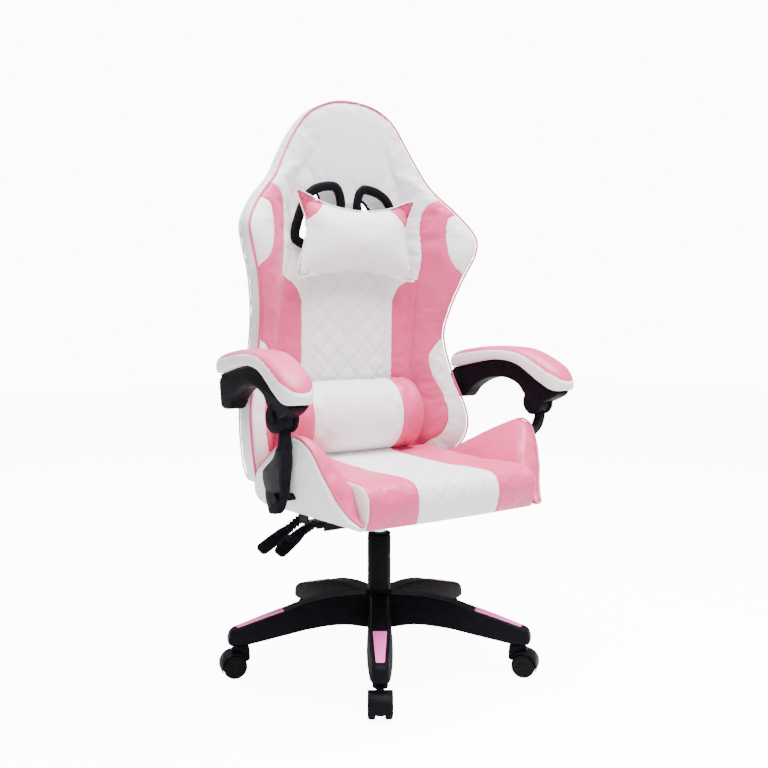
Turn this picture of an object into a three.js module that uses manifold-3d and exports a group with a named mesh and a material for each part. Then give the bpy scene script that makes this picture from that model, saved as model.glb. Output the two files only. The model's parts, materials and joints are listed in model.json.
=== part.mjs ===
// Gaming chair: five-star swivel base, gas lift, reclining backrest and linkage armrests.
// Units are millimetres, +Z is up and the sitter faces -Y. Every length below is given from the
// swivel axis, and the finished group is moved by CHAIR_SHIFT_Y to put its origin under the middle
// of the whole chair.
import * as THREE from 'three';
import { mergeVertices } from 'three/addons/utils/BufferGeometryUtils.js';
import Module from 'manifold-3d';

const wasm = await Module();
wasm.setup();

// ---- Driving dimensions -------------------------------------------------------------------

const CHAIR_SHIFT_Y = -26;
const GAP = 0.4; // running clearance between neighbouring pieces

// Five-star base and casters
const LEG_COUNT = 5;
const LEG_STEP = (2 * Math.PI) / LEG_COUNT;
const LEG_STATIONS = [
  // distance from the axis, top height, bottom height, half width at the top and at the bottom
  { r: 0, top: 150, bottom: 80, upper: 20, lower: 24 },
  { r: 70, top: 150, bottom: 88, upper: 19, lower: 24 },
  { r: 130, top: 147, bottom: 90, upper: 19, lower: 25 },
  { r: 206, top: 128, bottom: 80, upper: 19, lower: 26 },
  { r: 300, top: 102, bottom: 66, upper: 15, lower: 20 },
  { r: 318, top: 97, bottom: 66, upper: 13, lower: 18 },
  { r: 328, top: 78, bottom: 67, upper: 11, lower: 14 },
];
const HUB_RADIUS = 34;
const HUB_COLLAR_RADIUS = 29;
const HUB_BOTTOM = 76;
const HUB_TOP = 155;
const INSERT = { inner: 212, outer: 310, innerHalf: 14, outerHalf: 8.5, thick: 4, proud: 1.2 };
const STEM_CIRCLE = 300; // caster stems stand on this radius
const STEM_RADIUS = 5.5;
const STEM_SOCKET_TOP = 92;
const CASTER_TRAIL = 16;
const WHEEL_RADIUS = 24.5;
const WHEEL_WIDTH = 15;
const WHEEL_SPACING = 17; // clear space between the two wheels of a caster
const AXLE_RADIUS = 4;
const HOOD_RADIUS = 28;
const HOOD_WEB = 13;
const HOOD_WEB_RADIUS = 19;
const HOOD_NECK_TOP = 64;

// Gas lift
const TUBE_RADIUS = 25;
const TUBE_WALL = 2;
const TUBE_BOTTOM = 62;
const TUBE_TOP = 277;
const PISTON_RADIUS = 14;
const PISTON_BORE = 11.5;
const PISTON_BOTTOM = 100;
const PISTON_TOP = 340;
const ROD_RADIUS = 5;
const ROD_TOP = 268;

// Mechanism and seat
const MECH = { halfX: 52, front: -85, rear: 88, bottom: 300, top: 342 };
const MECH_BAR = { halfX: 160, front: -30, rear: 0, bottom: 306 };
const SEAT_BOARD = { halfX: 200, front: -238, rear: 94, bottom: 343, top: 352 };
const SEAT_HALF = 214;
const SEAT_BOTTOM = 353;
const CUSHION_NOSE = 8; // how much further forward the middle of the cushion reaches than its corners
const CUSHION_PROFILE = [
  // y and z round one side of the seat cushion
  [-246, 353], [-256, 372], [-260, 398], [-254, 418], [-238, 430], [-196, 435],
  [-100, 436], [20, 442], [76, 445], [88, 436], [90, 400], [89, 353],
];
const BOLSTER_INNER = SEAT_HALF + 3.5;
const BOLSTER_BOTTOM = 354;
const BOLSTER_OUTER_LEAN = 0.5;
const BOLSTER_INNER_LEAN = 0.6;
const BOLSTER_CREASE = 430;
const BOLSTER_TOP = [
  // y and height of the bolster's upper edge, front to rear
  [-256, 361], [-244, 372], [-232, 389], [-214, 424], [-196, 463], [-180, 494], [-160, 512],
  [-140, 518], [-100, 508], [-50, 487], [0, 460], [40, 436], [62, 416], [80, 398], [92, 376],
];

// Linkage: recline hinge, arm pivot on the backrest, disc pivot, link pivot on the seat (y, z).
// The four pivots make a parallelogram, so both armrests stay level while the backrest reclines.
const RECLINE = { y: 170, z: 408 };
const ARM_REAR = { y: 82, z: 572 };
const ARM_FRONT = { y: -150, z: 556 };
const LINK_FOOT = {
  y: ARM_FRONT.y - (ARM_REAR.y - RECLINE.y),
  z: ARM_FRONT.z - (ARM_REAR.z - RECLINE.z),
};
const ARM_X = 328; // middle plane of an armrest at its front pivot
const ARM_TOE = 0.085; // how far an armrest leans outward per millimetre forward
const ARM_HALF = 20;
const LINK_THICK = 20;
const LINK_FOOT_X = 283; // middle plane of the link's lower end
const LINK_LEAN = { from: 403, to: 496 }; // heights between which the link leans outward
const DISC_RADIUS = 28;
const PIVOT_RADIUS = 5;
const PIN_HEAD = 12;
const BOLT_HEAD = 10;
const SPACER_INNER = 283; // side of the backrest's wing at the rear pivot
const PAD_HALF = 36;
const PAD_STATIONS = [
  // y, top height and bottom height of the arm pad, rear to front
  { y: 94, top: 652, bottom: 632 },
  { y: 88, top: 660, bottom: 627 },
  { y: 66, top: 669, bottom: 630 },
  { y: 30, top: 675, bottom: 637 },
  { y: -10, top: 679, bottom: 644 },
  { y: -50, top: 680, bottom: 648 },
  { y: -90, top: 679, bottom: 645 },
  { y: -120, top: 676, bottom: 636 },
  { y: -145, top: 669, bottom: 622 },
  { y: -170, top: 659, bottom: 606 },
  { y: -195, top: 646, bottom: 592 },
  { y: -215, top: 634, bottom: 584 },
  { y: -228, top: 622, bottom: 583 },
  { y: -234, top: 610, bottom: 590 },
];
// Side view of an armrest below its pad: the front end, the arch over the sitter's thigh, and the
// rear block with the pivot.
const ARM_UNDERSIDE = [
  [-208, 572], [-184, 559], [ARM_FRONT.y - 20, ARM_FRONT.z], [ARM_FRONT.y + 20, ARM_FRONT.z],
  [-120, 576], [-104, 595], [-74, 606], [-39, 607], [-3, 600], [30, 583], [54, 560], [88, 557],
  [99, 582], [103, 613],
];

// Backrest
const BACK_STATIONS = [
  // height, half width, where the wing starts, y of the side edge, y of the front face, and the
  // thickness in the middle and at the edge
  { z: 382, half: 190, fold: 150, edge: 128, face: 120, thick: 66, rim: 40 },
  { z: 400, half: 236, fold: 190, edge: 104, face: 120, thick: 74, rim: 44 },
  { z: 436, half: 268, fold: 196, edge: 60, face: 120, thick: 76, rim: 48 },
  { z: 474, half: 283, fold: 186, edge: 40, face: 120, thick: 76, rim: 50 },
  { z: 515, half: 286, fold: 180, edge: 40, face: 120, thick: 76, rim: 50 },
  { z: 560, half: 279, fold: 180, edge: 54, face: 120, thick: 76, rim: 48 },
  { z: 620, half: 261, fold: 178, edge: 69, face: 118, thick: 76, rim: 46 },
  { z: 700, half: 245, fold: 172, edge: 78, face: 116, thick: 76, rim: 44 },
  { z: 764, half: 251, fold: 166, edge: 62, face: 115, thick: 76, rim: 44 },
  { z: 831, half: 269, fold: 158, edge: 39, face: 115, thick: 75, rim: 44 },
  { z: 889, half: 292, fold: 148, edge: 21, face: 115, thick: 75, rim: 44 },
  { z: 931, half: 294, fold: 148, edge: 24, face: 115, thick: 74, rim: 44 },
  { z: 983, half: 257, fold: 145, edge: 49, face: 115, thick: 72, rim: 42 },
  { z: 1035, half: 205, fold: 135, edge: 76, face: 113, thick: 68, rim: 38 },
  { z: 1085, half: 174, fold: 105, edge: 92, face: 108, thick: 60, rim: 34 },
  { z: 1135, half: 143, fold: 70, edge: 99, face: 102, thick: 52, rim: 30 },
  { z: 1175, half: 110, fold: 45, edge: 98, face: 98, thick: 42, rim: 26 },
  { z: 1198, half: 68, fold: 25, edge: 95, face: 95, thick: 30, rim: 20 },
  { z: 1208, half: 26, fold: 8, edge: 96, face: 96, thick: 16, rim: 14 },
];
const WING_POWER = 1.1; // how gently the padded wing rises from its fold
const WING_COLUMNS = [0.28, 0.55, 0.82, 1]; // shares of a wing's width
const REAR_POWER = 3; // how late the rear turns forward towards the side edges
const PANEL_THICK = 8;
const NOTCH = { halfX: 116, top: 444 };
const HARNESS_HOLE = [
  // x and z round the outside of the bezel of the hole on the +X side
  [15, 1012], [18, 966], [72, 888], [130, 892], [149, 924], [110, 1014], [42, 1038],
];
const BEZEL_WIDTH = 15;
const BEZEL_FLANGE = 4;
const BEZEL_LINER = 3;
const BEZEL_REAR = 110.4; // rear of the bezel's flange
const BEZEL_LINER_END = 198;
const FRAME = { front: 132, rear: 148, bar: 20 };
const FRAME_OUTLINE = [
  // x and z down the outside of the bent frame tube, right half
  [66, 1130], [116, 1090], [182, 960], [186, 900], [186, 452],
];
const FRAME_RAIL_Z = 690;

const HEAD_PILLOW = { halfX: 155, bottom: 823, top: 1003, front: 52, rear: 103, waist: 9 };
const STRAP = { halfX: 57, front: 103.6, rear: 209, bottom: 949, top: 967, thick: 2 };
const LUMBAR = { halfX: 171, y: 105, z: 521, radius: 71, rear: 107 };

// Hinge at the back of the seat
const HINGE_EAR = { inner: 87, outer: 95, radius: 17 };
const BACK_EAR = { inner: 78, outer: 86, radius: 15 };
const HINGE_PIN_RADIUS = 6;

// Levers under the sitter's right side: where the sloping part starts and ends
const LEVERS = [
  { name: 'height_lever', start: [-150, 9, 320], end: [-250, -6, 280] },
  { name: 'recline_lever', start: [-147, 72, 320], end: [-250, 67, 270] },
];
const LEVER_ROD_RADIUS = 4;
const LEVER_BOOT_RADIUS = 8.5;
const LEVER_BOOT_RIBS = 7;
const LEVER_BOOT_SHARE = 0.5; // share of the sloping part that the ribbed boot covers
const LEVER_GRIP_SHARE = 0.25; // share over which the rod reaches into its paddle
const LEVER_CLEARANCE = 1; // room for the rod's end to turn beside the mechanism
const LEVER_INNER_X = -MECH.halfX - LEVER_CLEARANCE;

// ---- Materials ----------------------------------------------------------------------------

const finish = (color, roughness, metalness) =>
  new THREE.MeshStandardMaterial({ color, roughness, metalness });

const MATERIALS = {
  whiteLeather: () => finish(0xe9e6e6, 0.45, 0),
  pinkLeather: () => finish(0xe9b4c6, 0.42, 0),
  blackPlastic: () => finish(0x1a1a1e, 0.5, 0),
  pinkPlastic: () => finish(0xee9fcb, 0.25, 0),
  blackSteel: () => finish(0x161618, 0.4, 0.6),
  chrome: () => finish(0xd8dadc, 0.12, 1),
  zincSteel: () => finish(0x8f9294, 0.35, 1),
  blackRubber: () => finish(0x1c1c1d, 0.75, 0),
  plywood: () => finish(0xc8a878, 0.8, 0),
  blackWebbing: () => finish(0x202022, 0.85, 0),
};

// ---- Solids: closing, joining and cutting ---------------------------------------------------

function positionsOnly(geometry) {
  const copy = geometry.index ? geometry.toNonIndexed() : geometry.clone();
  copy.deleteAttribute('normal');
  copy.deleteAttribute('uv');
  return mergeVertices(copy, 1e-3);
}

function toSolid(geometry) {
  const merged = positionsOnly(geometry);
  const vertProperties = new Float32Array(merged.attributes.position.array);
  const triVerts = new Uint32Array(merged.index.array);
  return new wasm.Manifold(new wasm.Mesh({ numProp: 3, vertProperties, triVerts }));
}

function toGeometry(solid) {
  const mesh = solid.getMesh();
  const geometry = new THREE.BufferGeometry();
  geometry.setAttribute('position', new THREE.BufferAttribute(mesh.vertProperties, 3));
  geometry.setIndex(new THREE.BufferAttribute(mesh.triVerts, 1));
  return geometry;
}

function join(...geometries) {
  return toGeometry(geometries.map(toSolid).reduce((body, piece) => body.add(piece)));
}

function cut(geometry, ...tools) {
  return toGeometry(tools.map(toSolid).reduce((body, tool) => body.subtract(tool), toSolid(geometry)));
}

function signedVolume(points, triangles) {
  let volume = 0;
  for (const [a, b, c] of triangles) {
    volume += points[a].dot(new THREE.Vector3().crossVectors(points[b], points[c]));
  }
  return volume;
}

// Skin over a row of rings that all have the same even number of points. Each end is closed by
// stitching the first half of its ring to the second half, which suits crescents and ovals alike.
function loft(rings) {
  const count = rings[0].length;
  const points = rings.flat();
  const triangles = [];
  for (let row = 0; row + 1 < rings.length; row++) {
    for (let i = 0; i < count; i++) {
      const a = row * count + i;
      const b = row * count + ((i + 1) % count);
      triangles.push([a, b, b + count], [a, b + count, a + count]);
    }
  }
  const last = (rings.length - 1) * count;
  for (let i = 0; i < count / 2 - 1; i++) {
    const far = count - 1 - i;
    triangles.push([i, far, i + 1], [i + 1, far, far - 1]);
    triangles.push([last + i, last + i + 1, last + far], [last + i + 1, last + far - 1, last + far]);
  }
  if (signedVolume(points, triangles) < 0) {
    triangles.forEach((triangle) => triangle.reverse());
  }
  const geometry = new THREE.BufferGeometry().setFromPoints(points);
  geometry.setIndex(triangles.flat());
  return positionsOnly(geometry);
}

// ---- Outlines -------------------------------------------------------------------------------

function polygon(points) {
  return new THREE.Shape(points.map(([x, y]) => new THREE.Vector2(x, y)));
}

// A closed outline whose corners are rounded off.
function rounded(points, radius) {
  const shape = new THREE.Shape();
  const corners = points.map(([x, y]) => new THREE.Vector2(x, y));
  corners.forEach((corner, i) => {
    const before = corners[(i + corners.length - 1) % corners.length];
    const after = corners[(i + 1) % corners.length];
    const reachIn = Math.min(radius, corner.distanceTo(before) / 2.2);
    const reachOut = Math.min(radius, corner.distanceTo(after) / 2.2);
    const enter = corner.clone().lerp(before, reachIn / corner.distanceTo(before));
    const leave = corner.clone().lerp(after, reachOut / corner.distanceTo(after));
    if (i === 0) {
      shape.moveTo(enter.x, enter.y);
    } else {
      shape.lineTo(enter.x, enter.y);
    }
    shape.quadraticCurveTo(corner.x, corner.y, leave.x, leave.y);
  });
  shape.closePath();
  return shape;
}

// A convex outline moved inward by a distance on every side.
function inset(points, distance) {
  const turn = Math.sign(THREE.ShapeUtils.area(points.map(([x, y]) => new THREE.Vector2(x, y))));
  const edges = points.map(([x, y], i) => {
    const [nextX, nextY] = points[(i + 1) % points.length];
    const direction = new THREE.Vector2(nextX - x, nextY - y).normalize();
    const normal = new THREE.Vector2(-direction.y, direction.x).multiplyScalar(turn * distance);
    return { from: new THREE.Vector2(x, y).add(normal), direction };
  });
  return edges.map((edge, i) => {
    const before = edges[(i + edges.length - 1) % edges.length];
    const across = edge.from.clone().sub(before.from);
    const travel = across.cross(edge.direction) / before.direction.cross(edge.direction);
    const corner = before.from.clone().addScaledVector(before.direction, travel);
    return [corner.x, corner.y];
  });
}

function disc(y, z, radius) {
  return new THREE.Shape().absarc(y, z, radius, 0, 2 * Math.PI, false);
}

// The outline of the other side, in the same sense of turning.
const mirrored = (points) => points.map(([x, y]) => [-x, y]).reverse();

// ---- Extrusions and turned pieces -----------------------------------------------------------

const ALONG_X = new THREE.Matrix4().makeBasis(
  new THREE.Vector3(0, 1, 0), new THREE.Vector3(0, 0, 1), new THREE.Vector3(1, 0, 0));
const ALONG_Y = new THREE.Matrix4().makeBasis(
  new THREE.Vector3(1, 0, 0), new THREE.Vector3(0, 0, 1), new THREE.Vector3(0, -1, 0));

function extrude(shape, depth, segments) {
  return new THREE.ExtrudeGeometry(shape, { depth, bevelEnabled: false, curveSegments: segments });
}

// Outline in y and z, from one x to another.
function slabX(shape, from, to, segments = 3) {
  return extrude(shape, to - from, segments).applyMatrix4(ALONG_X).translate(from, 0, 0);
}

// Outline in x and z, from one y to another.
function slabY(shape, from, to, segments = 3) {
  return extrude(shape, to - from, segments).applyMatrix4(ALONG_Y).translate(0, to, 0);
}

// Outline in x and y, from one z to another.
function slabZ(shape, from, to, segments = 3) {
  return extrude(shape, to - from, segments).translate(0, 0, from);
}

function box(x0, x1, y0, y1, z0, z1) {
  return new THREE.BoxGeometry(x1 - x0, y1 - y0, z1 - z0)
    .translate((x0 + x1) / 2, (y0 + y1) / 2, (z0 + z1) / 2);
}

// Profile of [radius, height] pairs turned about the Z axis.
function turned(profile, sides = 24) {
  const points = profile.map(([radius, height]) => new THREE.Vector2(radius, height));
  return new THREE.LatheGeometry(points, sides).rotateX(Math.PI / 2);
}

// The same, about an axis along X through a point of the YZ plane.
function turnedX(profile, y, z, sides = 20) {
  return turned(profile, sides).rotateY(Math.PI / 2).translate(0, y, z);
}

function ringProfile(inner, outer, bottom, top) {
  return [[inner, bottom], [outer, bottom], [outer, top], [inner, top], [inner, bottom]];
}

function rodProfile(radius, bottom, top) {
  return [[0, bottom], [radius, bottom], [radius, top], [0, top]];
}

function crossHole(y, z, radius, from, to) {
  return turnedX(rodProfile(radius, from, to), y, z, 12);
}

// ---- Base -----------------------------------------------------------------------------------

function legAngle(index) {
  return Math.PI / 2 + index * LEG_STEP; // the first leg points straight back
}

function legRing({ r, top, bottom, upper, lower }) {
  const shoulder = bottom + 0.55 * (top - bottom);
  const chamfer = 3;
  return [
    new THREE.Vector3(r, -lower, bottom),
    new THREE.Vector3(r, -lower - 1, shoulder),
    new THREE.Vector3(r, -upper, top - chamfer),
    new THREE.Vector3(r, -upper + chamfer, top),
    new THREE.Vector3(r, upper - chamfer, top),
    new THREE.Vector3(r, upper, top - chamfer),
    new THREE.Vector3(r, lower + 1, shoulder),
    new THREE.Vector3(r, lower, bottom),
  ];
}

// Slope of the straight outer part of a leg's top, where the insert lies.
const INNER_STATION = LEG_STATIONS[3];
const OUTER_STATION = LEG_STATIONS[4];
const LEG_SLOPE = (OUTER_STATION.top - INNER_STATION.top) / (OUTER_STATION.r - INNER_STATION.r);

function legTop(r) {
  return INNER_STATION.top + LEG_SLOPE * (r - INNER_STATION.r);
}

// Tapered plate lying on the leg's slope, grown all round by a clearance.
function insertPlate(grow, thick, lift) {
  const rings = [INSERT.inner - grow, INSERT.outer + grow].map((r, i) => {
    const half = (i === 0 ? INSERT.innerHalf : INSERT.outerHalf) + grow;
    const surface = legTop(r) + lift;
    return [
      new THREE.Vector3(r, -half, surface - thick),
      new THREE.Vector3(r, -half, surface),
      new THREE.Vector3(r, half, surface),
      new THREE.Vector3(r, half, surface - thick),
    ];
  });
  return loft(rings);
}

function leg() {
  const body = loft(LEG_STATIONS.map(legRing));
  const recess = insertPlate(GAP, INSERT.thick - INSERT.proud + GAP + 10, 10);
  const socket = turned(rodProfile(STEM_RADIUS + GAP, 0, STEM_SOCKET_TOP), 10).translate(STEM_CIRCLE, 0, 0);
  return cut(body, recess, socket);
}

function baseStar() {
  const hub = turned([
    [0, HUB_BOTTOM], [HUB_RADIUS - 2, HUB_BOTTOM], [HUB_RADIUS, HUB_BOTTOM + 3], [HUB_RADIUS, 148],
    [HUB_COLLAR_RADIUS, 151], [HUB_COLLAR_RADIUS, HUB_TOP], [0, HUB_TOP],
  ], 20);
  const legs = [];
  for (let i = 0; i < LEG_COUNT; i++) {
    legs.push(leg().rotateZ(legAngle(i)));
  }
  const bore = turned(rodProfile(TUBE_RADIUS + GAP, HUB_BOTTOM - 20, HUB_TOP + 20), 20);
  return cut(join(hub, ...legs), bore);
}

// ---- Casters --------------------------------------------------------------------------------

const AXLE_HEIGHT = WHEEL_RADIUS;

// Twin wheels on one axle, about the Y axis through the origin.
function wheelPair() {
  const inner = WHEEL_SPACING / 2;
  const outer = inner + WHEEL_WIDTH;
  const side = [
    [AXLE_RADIUS, inner], [WHEEL_RADIUS, inner], [WHEEL_RADIUS, outer - 3],
    [WHEEL_RADIUS - 4, outer], [0, outer],
  ];
  const otherSide = side.map(([radius, height]) => [radius, -height]).reverse();
  return turned([...otherSide, ...side], 18).rotateX(Math.PI / 2);
}

// Hood, web between the wheels, neck and stem; the wheels trail behind the stem along +X.
function casterHood() {
  const half = WHEEL_SPACING / 2 + WHEEL_WIDTH;
  const arcFrom = -0.3;
  const arcTo = Math.PI * 0.72;
  const hood = new THREE.Shape();
  hood.absarc(0, 0, HOOD_RADIUS, arcFrom, arcTo, false);
  hood.absarc(0, 0, WHEEL_RADIUS + 1.2, arcTo, arcFrom, true);
  hood.closePath();
  const cover = slabY(hood, -half, half, 5);
  const web = slabY(disc(0, 0, HOOD_WEB_RADIUS), -HOOD_WEB / 2, HOOD_WEB / 2, 5);
  const neckBottom = 2;
  const neckTop = HOOD_NECK_TOP - AXLE_HEIGHT;
  const neck = slabY(rounded([
    [-CASTER_TRAIL - 17, neckBottom + 6], [-CASTER_TRAIL + 6, neckBottom], [8, neckTop - 10],
    [-CASTER_TRAIL + 15, neckTop], [-CASTER_TRAIL - 15, neckTop],
  ], 5), -HOOD_WEB / 2 - 0.5, HOOD_WEB / 2 + 0.5, 2);
  const collar = turned(rodProfile(15, neckTop - 10, neckTop), 12).translate(-CASTER_TRAIL, 0, 0);
  const stem = turned(rodProfile(STEM_RADIUS, neckTop - 4, STEM_SOCKET_TOP - 3 - AXLE_HEIGHT), 10)
    .translate(-CASTER_TRAIL, 0, 0);
  const wheelRoom = [-1, 1].map((side) => {
    const near = side * (HOOD_WEB / 2 + 1);
    const far = side * (half - 1);
    return slabY(disc(0, 0, WHEEL_RADIUS + 1), Math.min(near, far), Math.max(near, far), 6);
  });
  const axleHole = slabY(disc(0, 0, AXLE_RADIUS + GAP), -HOOD_WEB, HOOD_WEB, 4);
  return cut(cut(join(cover, web, neck, collar, stem), ...wheelRoom), axleHole);
}

function placeCaster(geometry, index) {
  return geometry.translate(STEM_CIRCLE + CASTER_TRAIL, 0, AXLE_HEIGHT).rotateZ(legAngle(index));
}

// ---- Gas lift -------------------------------------------------------------------------------

function columnTube() {
  const rodHole = ROD_RADIUS + 1;
  return turned([
    [rodHole, TUBE_BOTTOM], [TUBE_RADIUS - 1, TUBE_BOTTOM], [TUBE_RADIUS, TUBE_BOTTOM + 3],
    [TUBE_RADIUS, TUBE_TOP], [TUBE_RADIUS - TUBE_WALL, TUBE_TOP],
    [TUBE_RADIUS - TUBE_WALL, TUBE_BOTTOM + 4], [rodHole, TUBE_BOTTOM + 4], [rodHole, TUBE_BOTTOM],
  ], 20);
}

function columnBush() {
  const inner = PISTON_RADIUS + GAP;
  const outer = TUBE_RADIUS - TUBE_WALL - GAP;
  return turned([
    [inner, TUBE_TOP - 100], [outer, TUBE_TOP - 100], [outer, TUBE_TOP + GAP],
    [TUBE_RADIUS, TUBE_TOP + GAP], [TUBE_RADIUS - 1.5, TUBE_TOP + 3.5], [inner, TUBE_TOP + 3.5],
    [inner, TUBE_TOP - 100],
  ], 20);
}

const BEARING_BOTTOM = TUBE_BOTTOM + 4 + GAP;
const BEARING_TOP = BEARING_BOTTOM + 6;

function thrustBearing() {
  return turned(ringProfile(ROD_RADIUS + 1, 16, BEARING_BOTTOM, BEARING_TOP), 18);
}

function pistonRod() {
  const shoulder = BEARING_TOP + GAP;
  return turned([
    [0, TUBE_BOTTOM - 6], [9, TUBE_BOTTOM - 6], [9, TUBE_BOTTOM - GAP], [ROD_RADIUS, TUBE_BOTTOM - GAP],
    [ROD_RADIUS, shoulder], [10, shoulder], [10, shoulder + 3], [ROD_RADIUS, shoulder + 3],
    [ROD_RADIUS, ROD_TOP - 12], [PISTON_BORE - GAP, ROD_TOP - 12], [PISTON_BORE - GAP, ROD_TOP],
    [0, ROD_TOP],
  ], 14);
}

function gasCylinder() {
  return turned([
    [0, PISTON_TOP - 10], [PISTON_BORE, PISTON_TOP - 10], [PISTON_BORE, PISTON_BOTTOM],
    [PISTON_RADIUS, PISTON_BOTTOM], [PISTON_RADIUS, MECH.bottom], [PISTON_RADIUS - 1, PISTON_TOP],
    [0, PISTON_TOP],
  ], 20);
}

// ---- Mechanism and levers -------------------------------------------------------------------

function mechHousing() {
  const { halfX, front, rear, bottom, top } = MECH;
  const shell = slabX(rounded([
    [front, top], [rear, top], [rear, bottom + 14], [rear - 30, bottom], [front + 24, bottom],
    [front, bottom + 12],
  ], 8), -halfX, halfX, 2);
  const plate = box(-100, 100, front - 30, rear, top - 5, top);
  const bar = box(-MECH_BAR.halfX, MECH_BAR.halfX, MECH_BAR.front, MECH_BAR.rear, MECH_BAR.bottom, top);
  const barHollow = box(-MECH_BAR.halfX - 1, -MECH.halfX - 3, MECH_BAR.front + 3, MECH_BAR.rear - 3,
    MECH_BAR.bottom - 1, top - 4);
  const otherHollow = barHollow.clone().rotateZ(Math.PI).translate(0, MECH_BAR.front + MECH_BAR.rear, 0);
  const socket = turned(rodProfile(PISTON_RADIUS + GAP, bottom - 10, top + 10), 24);
  return cut(join(shell, plate, bar), barHollow, otherHollow, socket);
}

const vector = ([x, y, z]) => new THREE.Vector3(x, y, z);

// A piece made along +Z from the origin, laid from one point towards another.
function laidAlong(geometry, from, to) {
  const direction = to.clone().sub(from).normalize();
  const turn = new THREE.Quaternion().setFromUnitVectors(new THREE.Vector3(0, 0, 1), direction);
  return geometry.applyQuaternion(turn).translate(from.x, from.y, from.z);
}

function leverRod({ start, end }) {
  const from = vector(start);
  const to = vector(end);
  const tip = from.clone().lerp(to, LEVER_BOOT_SHARE + LEVER_GRIP_SHARE);
  const path = new THREE.CurvePath();
  const inner = new THREE.Vector3(LEVER_INNER_X, from.y, from.z);
  const bend = new THREE.Vector3(from.x + 22, from.y, from.z);
  const bendEnd = from.clone().lerp(to, 0.1);
  path.add(new THREE.LineCurve3(inner, bend));
  path.add(new THREE.QuadraticBezierCurve3(bend, from, bendEnd));
  path.add(new THREE.LineCurve3(bendEnd, tip));
  const section = new THREE.Shape().absarc(0, 0, LEVER_ROD_RADIUS, 0, 2 * Math.PI, false);
  return new THREE.ExtrudeGeometry(section, { steps: 12, extrudePath: path, curveSegments: 4 });
}

// Ribbed rubber boot round the sloping rod, with a little room inside.
function leverBoot({ start, end }) {
  const from = vector(start);
  const to = vector(end);
  const first = from.distanceTo(to) * 0.14;
  const length = from.distanceTo(to) * LEVER_BOOT_SHARE - first;
  const inner = LEVER_ROD_RADIUS + GAP + 0.4;
  const pitch = length / LEVER_BOOT_RIBS;
  const outside = [];
  for (let rib = 0; rib < LEVER_BOOT_RIBS; rib++) {
    outside.push([LEVER_BOOT_RADIUS - 2, rib * pitch], [LEVER_BOOT_RADIUS, (rib + 0.5) * pitch]);
  }
  outside.push([LEVER_BOOT_RADIUS - 2, length]);
  const profile = [[inner, 0], ...outside, [inner, length], [inner, 0]];
  return laidAlong(turned(profile, 8).translate(0, 0, first), from, to);
}

// Flat finger paddle, hollow at its root where the rod enters.
function leverPaddle({ start, end }) {
  const from = vector(start);
  const to = vector(end);
  const length = from.distanceTo(to);
  const root = length * LEVER_BOOT_SHARE + GAP;
  const outline = rounded([
    [-9, root], [9, root], [13, root + 14], [14, length + 8], [9, length + 14], [-9, length + 14],
    [-14, length + 8], [-13, root + 14],
  ], 6);
  const blade = slabX(outline, -6.5, 6.5, 2);
  const rodEnd = length * (LEVER_BOOT_SHARE + LEVER_GRIP_SHARE);
  const bore = turned(rodProfile(LEVER_ROD_RADIUS + GAP + 0.2, root - 5, rodEnd + 1), 12);
  return laidAlong(cut(blade, bore), from, to);
}

// ---- Seat -----------------------------------------------------------------------------------

function seatBoard() {
  const { halfX, front, rear, bottom, top } = SEAT_BOARD;
  const corners = [[-halfX, front], [halfX, front], [halfX, rear], [-halfX, rear]];
  return slabZ(rounded(corners, 30), bottom, top, 3);
}

function seatCushion() {
  const columns = 8;
  const rings = [];
  for (let i = 0; i <= columns; i++) {
    const across = (2 * i) / columns - 1;
    const nose = CUSHION_NOSE * (1 - across * across);
    rings.push(CUSHION_PROFILE.map(([y, z]) => {
      const forward = y < -200 ? nose : 0;
      return new THREE.Vector3(across * SEAT_HALF, y - forward, z);
    }));
  }
  return loft(rings);
}

function bolsterOuter(z) {
  return 223 + BOLSTER_OUTER_LEAN * (z - 358);
}

function bolsterInner(z) {
  return BOLSTER_INNER + BOLSTER_INNER_LEAN * Math.max(0, z - BOLSTER_CREASE);
}

// Side wing of the seat: upright inside up to the crease, then leaning outward to its crest.
function bolster(side) {
  const rings = BOLSTER_TOP.map(([y, top]) => {
    const crease = Math.min(BOLSTER_CREASE, BOLSTER_BOTTOM + 0.6 * (top - BOLSTER_BOTTOM));
    const middle = (BOLSTER_BOTTOM + top) / 2;
    const outline = [
      [BOLSTER_INNER, BOLSTER_BOTTOM], [BOLSTER_INNER, crease], [bolsterInner(top - 4) + 1, top - 4],
      [bolsterInner(top) + 6, top], [bolsterOuter(top) - 3, top - 1], [bolsterOuter(top - 5) + 1, top - 6],
      [bolsterOuter(middle) + 1, middle], [bolsterOuter(BOLSTER_BOTTOM) + 3, BOLSTER_BOTTOM],
    ];
    return outline.map(([x, z]) => new THREE.Vector3(side * x, y, z));
  });
  return loft(rings);
}

// ---- Recline hinge --------------------------------------------------------------------------

function hingeBracket() {
  const { inner, outer, radius } = HINGE_EAR;
  const plate = box(-outer, outer, MECH.rear + GAP, 152, MECH.bottom + 20, MECH.bottom + 26);
  const ears = [-1, 1].map((side) => {
    const profile = [
      [MECH.rear + 8, MECH.bottom + 20], [152, MECH.bottom + 20], [RECLINE.y + radius, RECLINE.z - 20],
      [RECLINE.y + radius, RECLINE.z], [RECLINE.y - radius, RECLINE.z], [130, MECH.bottom + 60],
      [MECH.rear + 8, MECH.bottom + 40],
    ];
    const near = Math.min(side * inner, side * outer);
    const ear = slabX(polygon(profile), near, near + outer - inner);
    const eye = slabX(disc(RECLINE.y, RECLINE.z, radius), near, near + outer - inner, 6);
    return join(ear, eye);
  });
  const hole = crossHole(RECLINE.y, RECLINE.z, HINGE_PIN_RADIUS + GAP, -outer - 5, outer + 5);
  return cut(join(plate, ...ears), hole);
}

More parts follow.
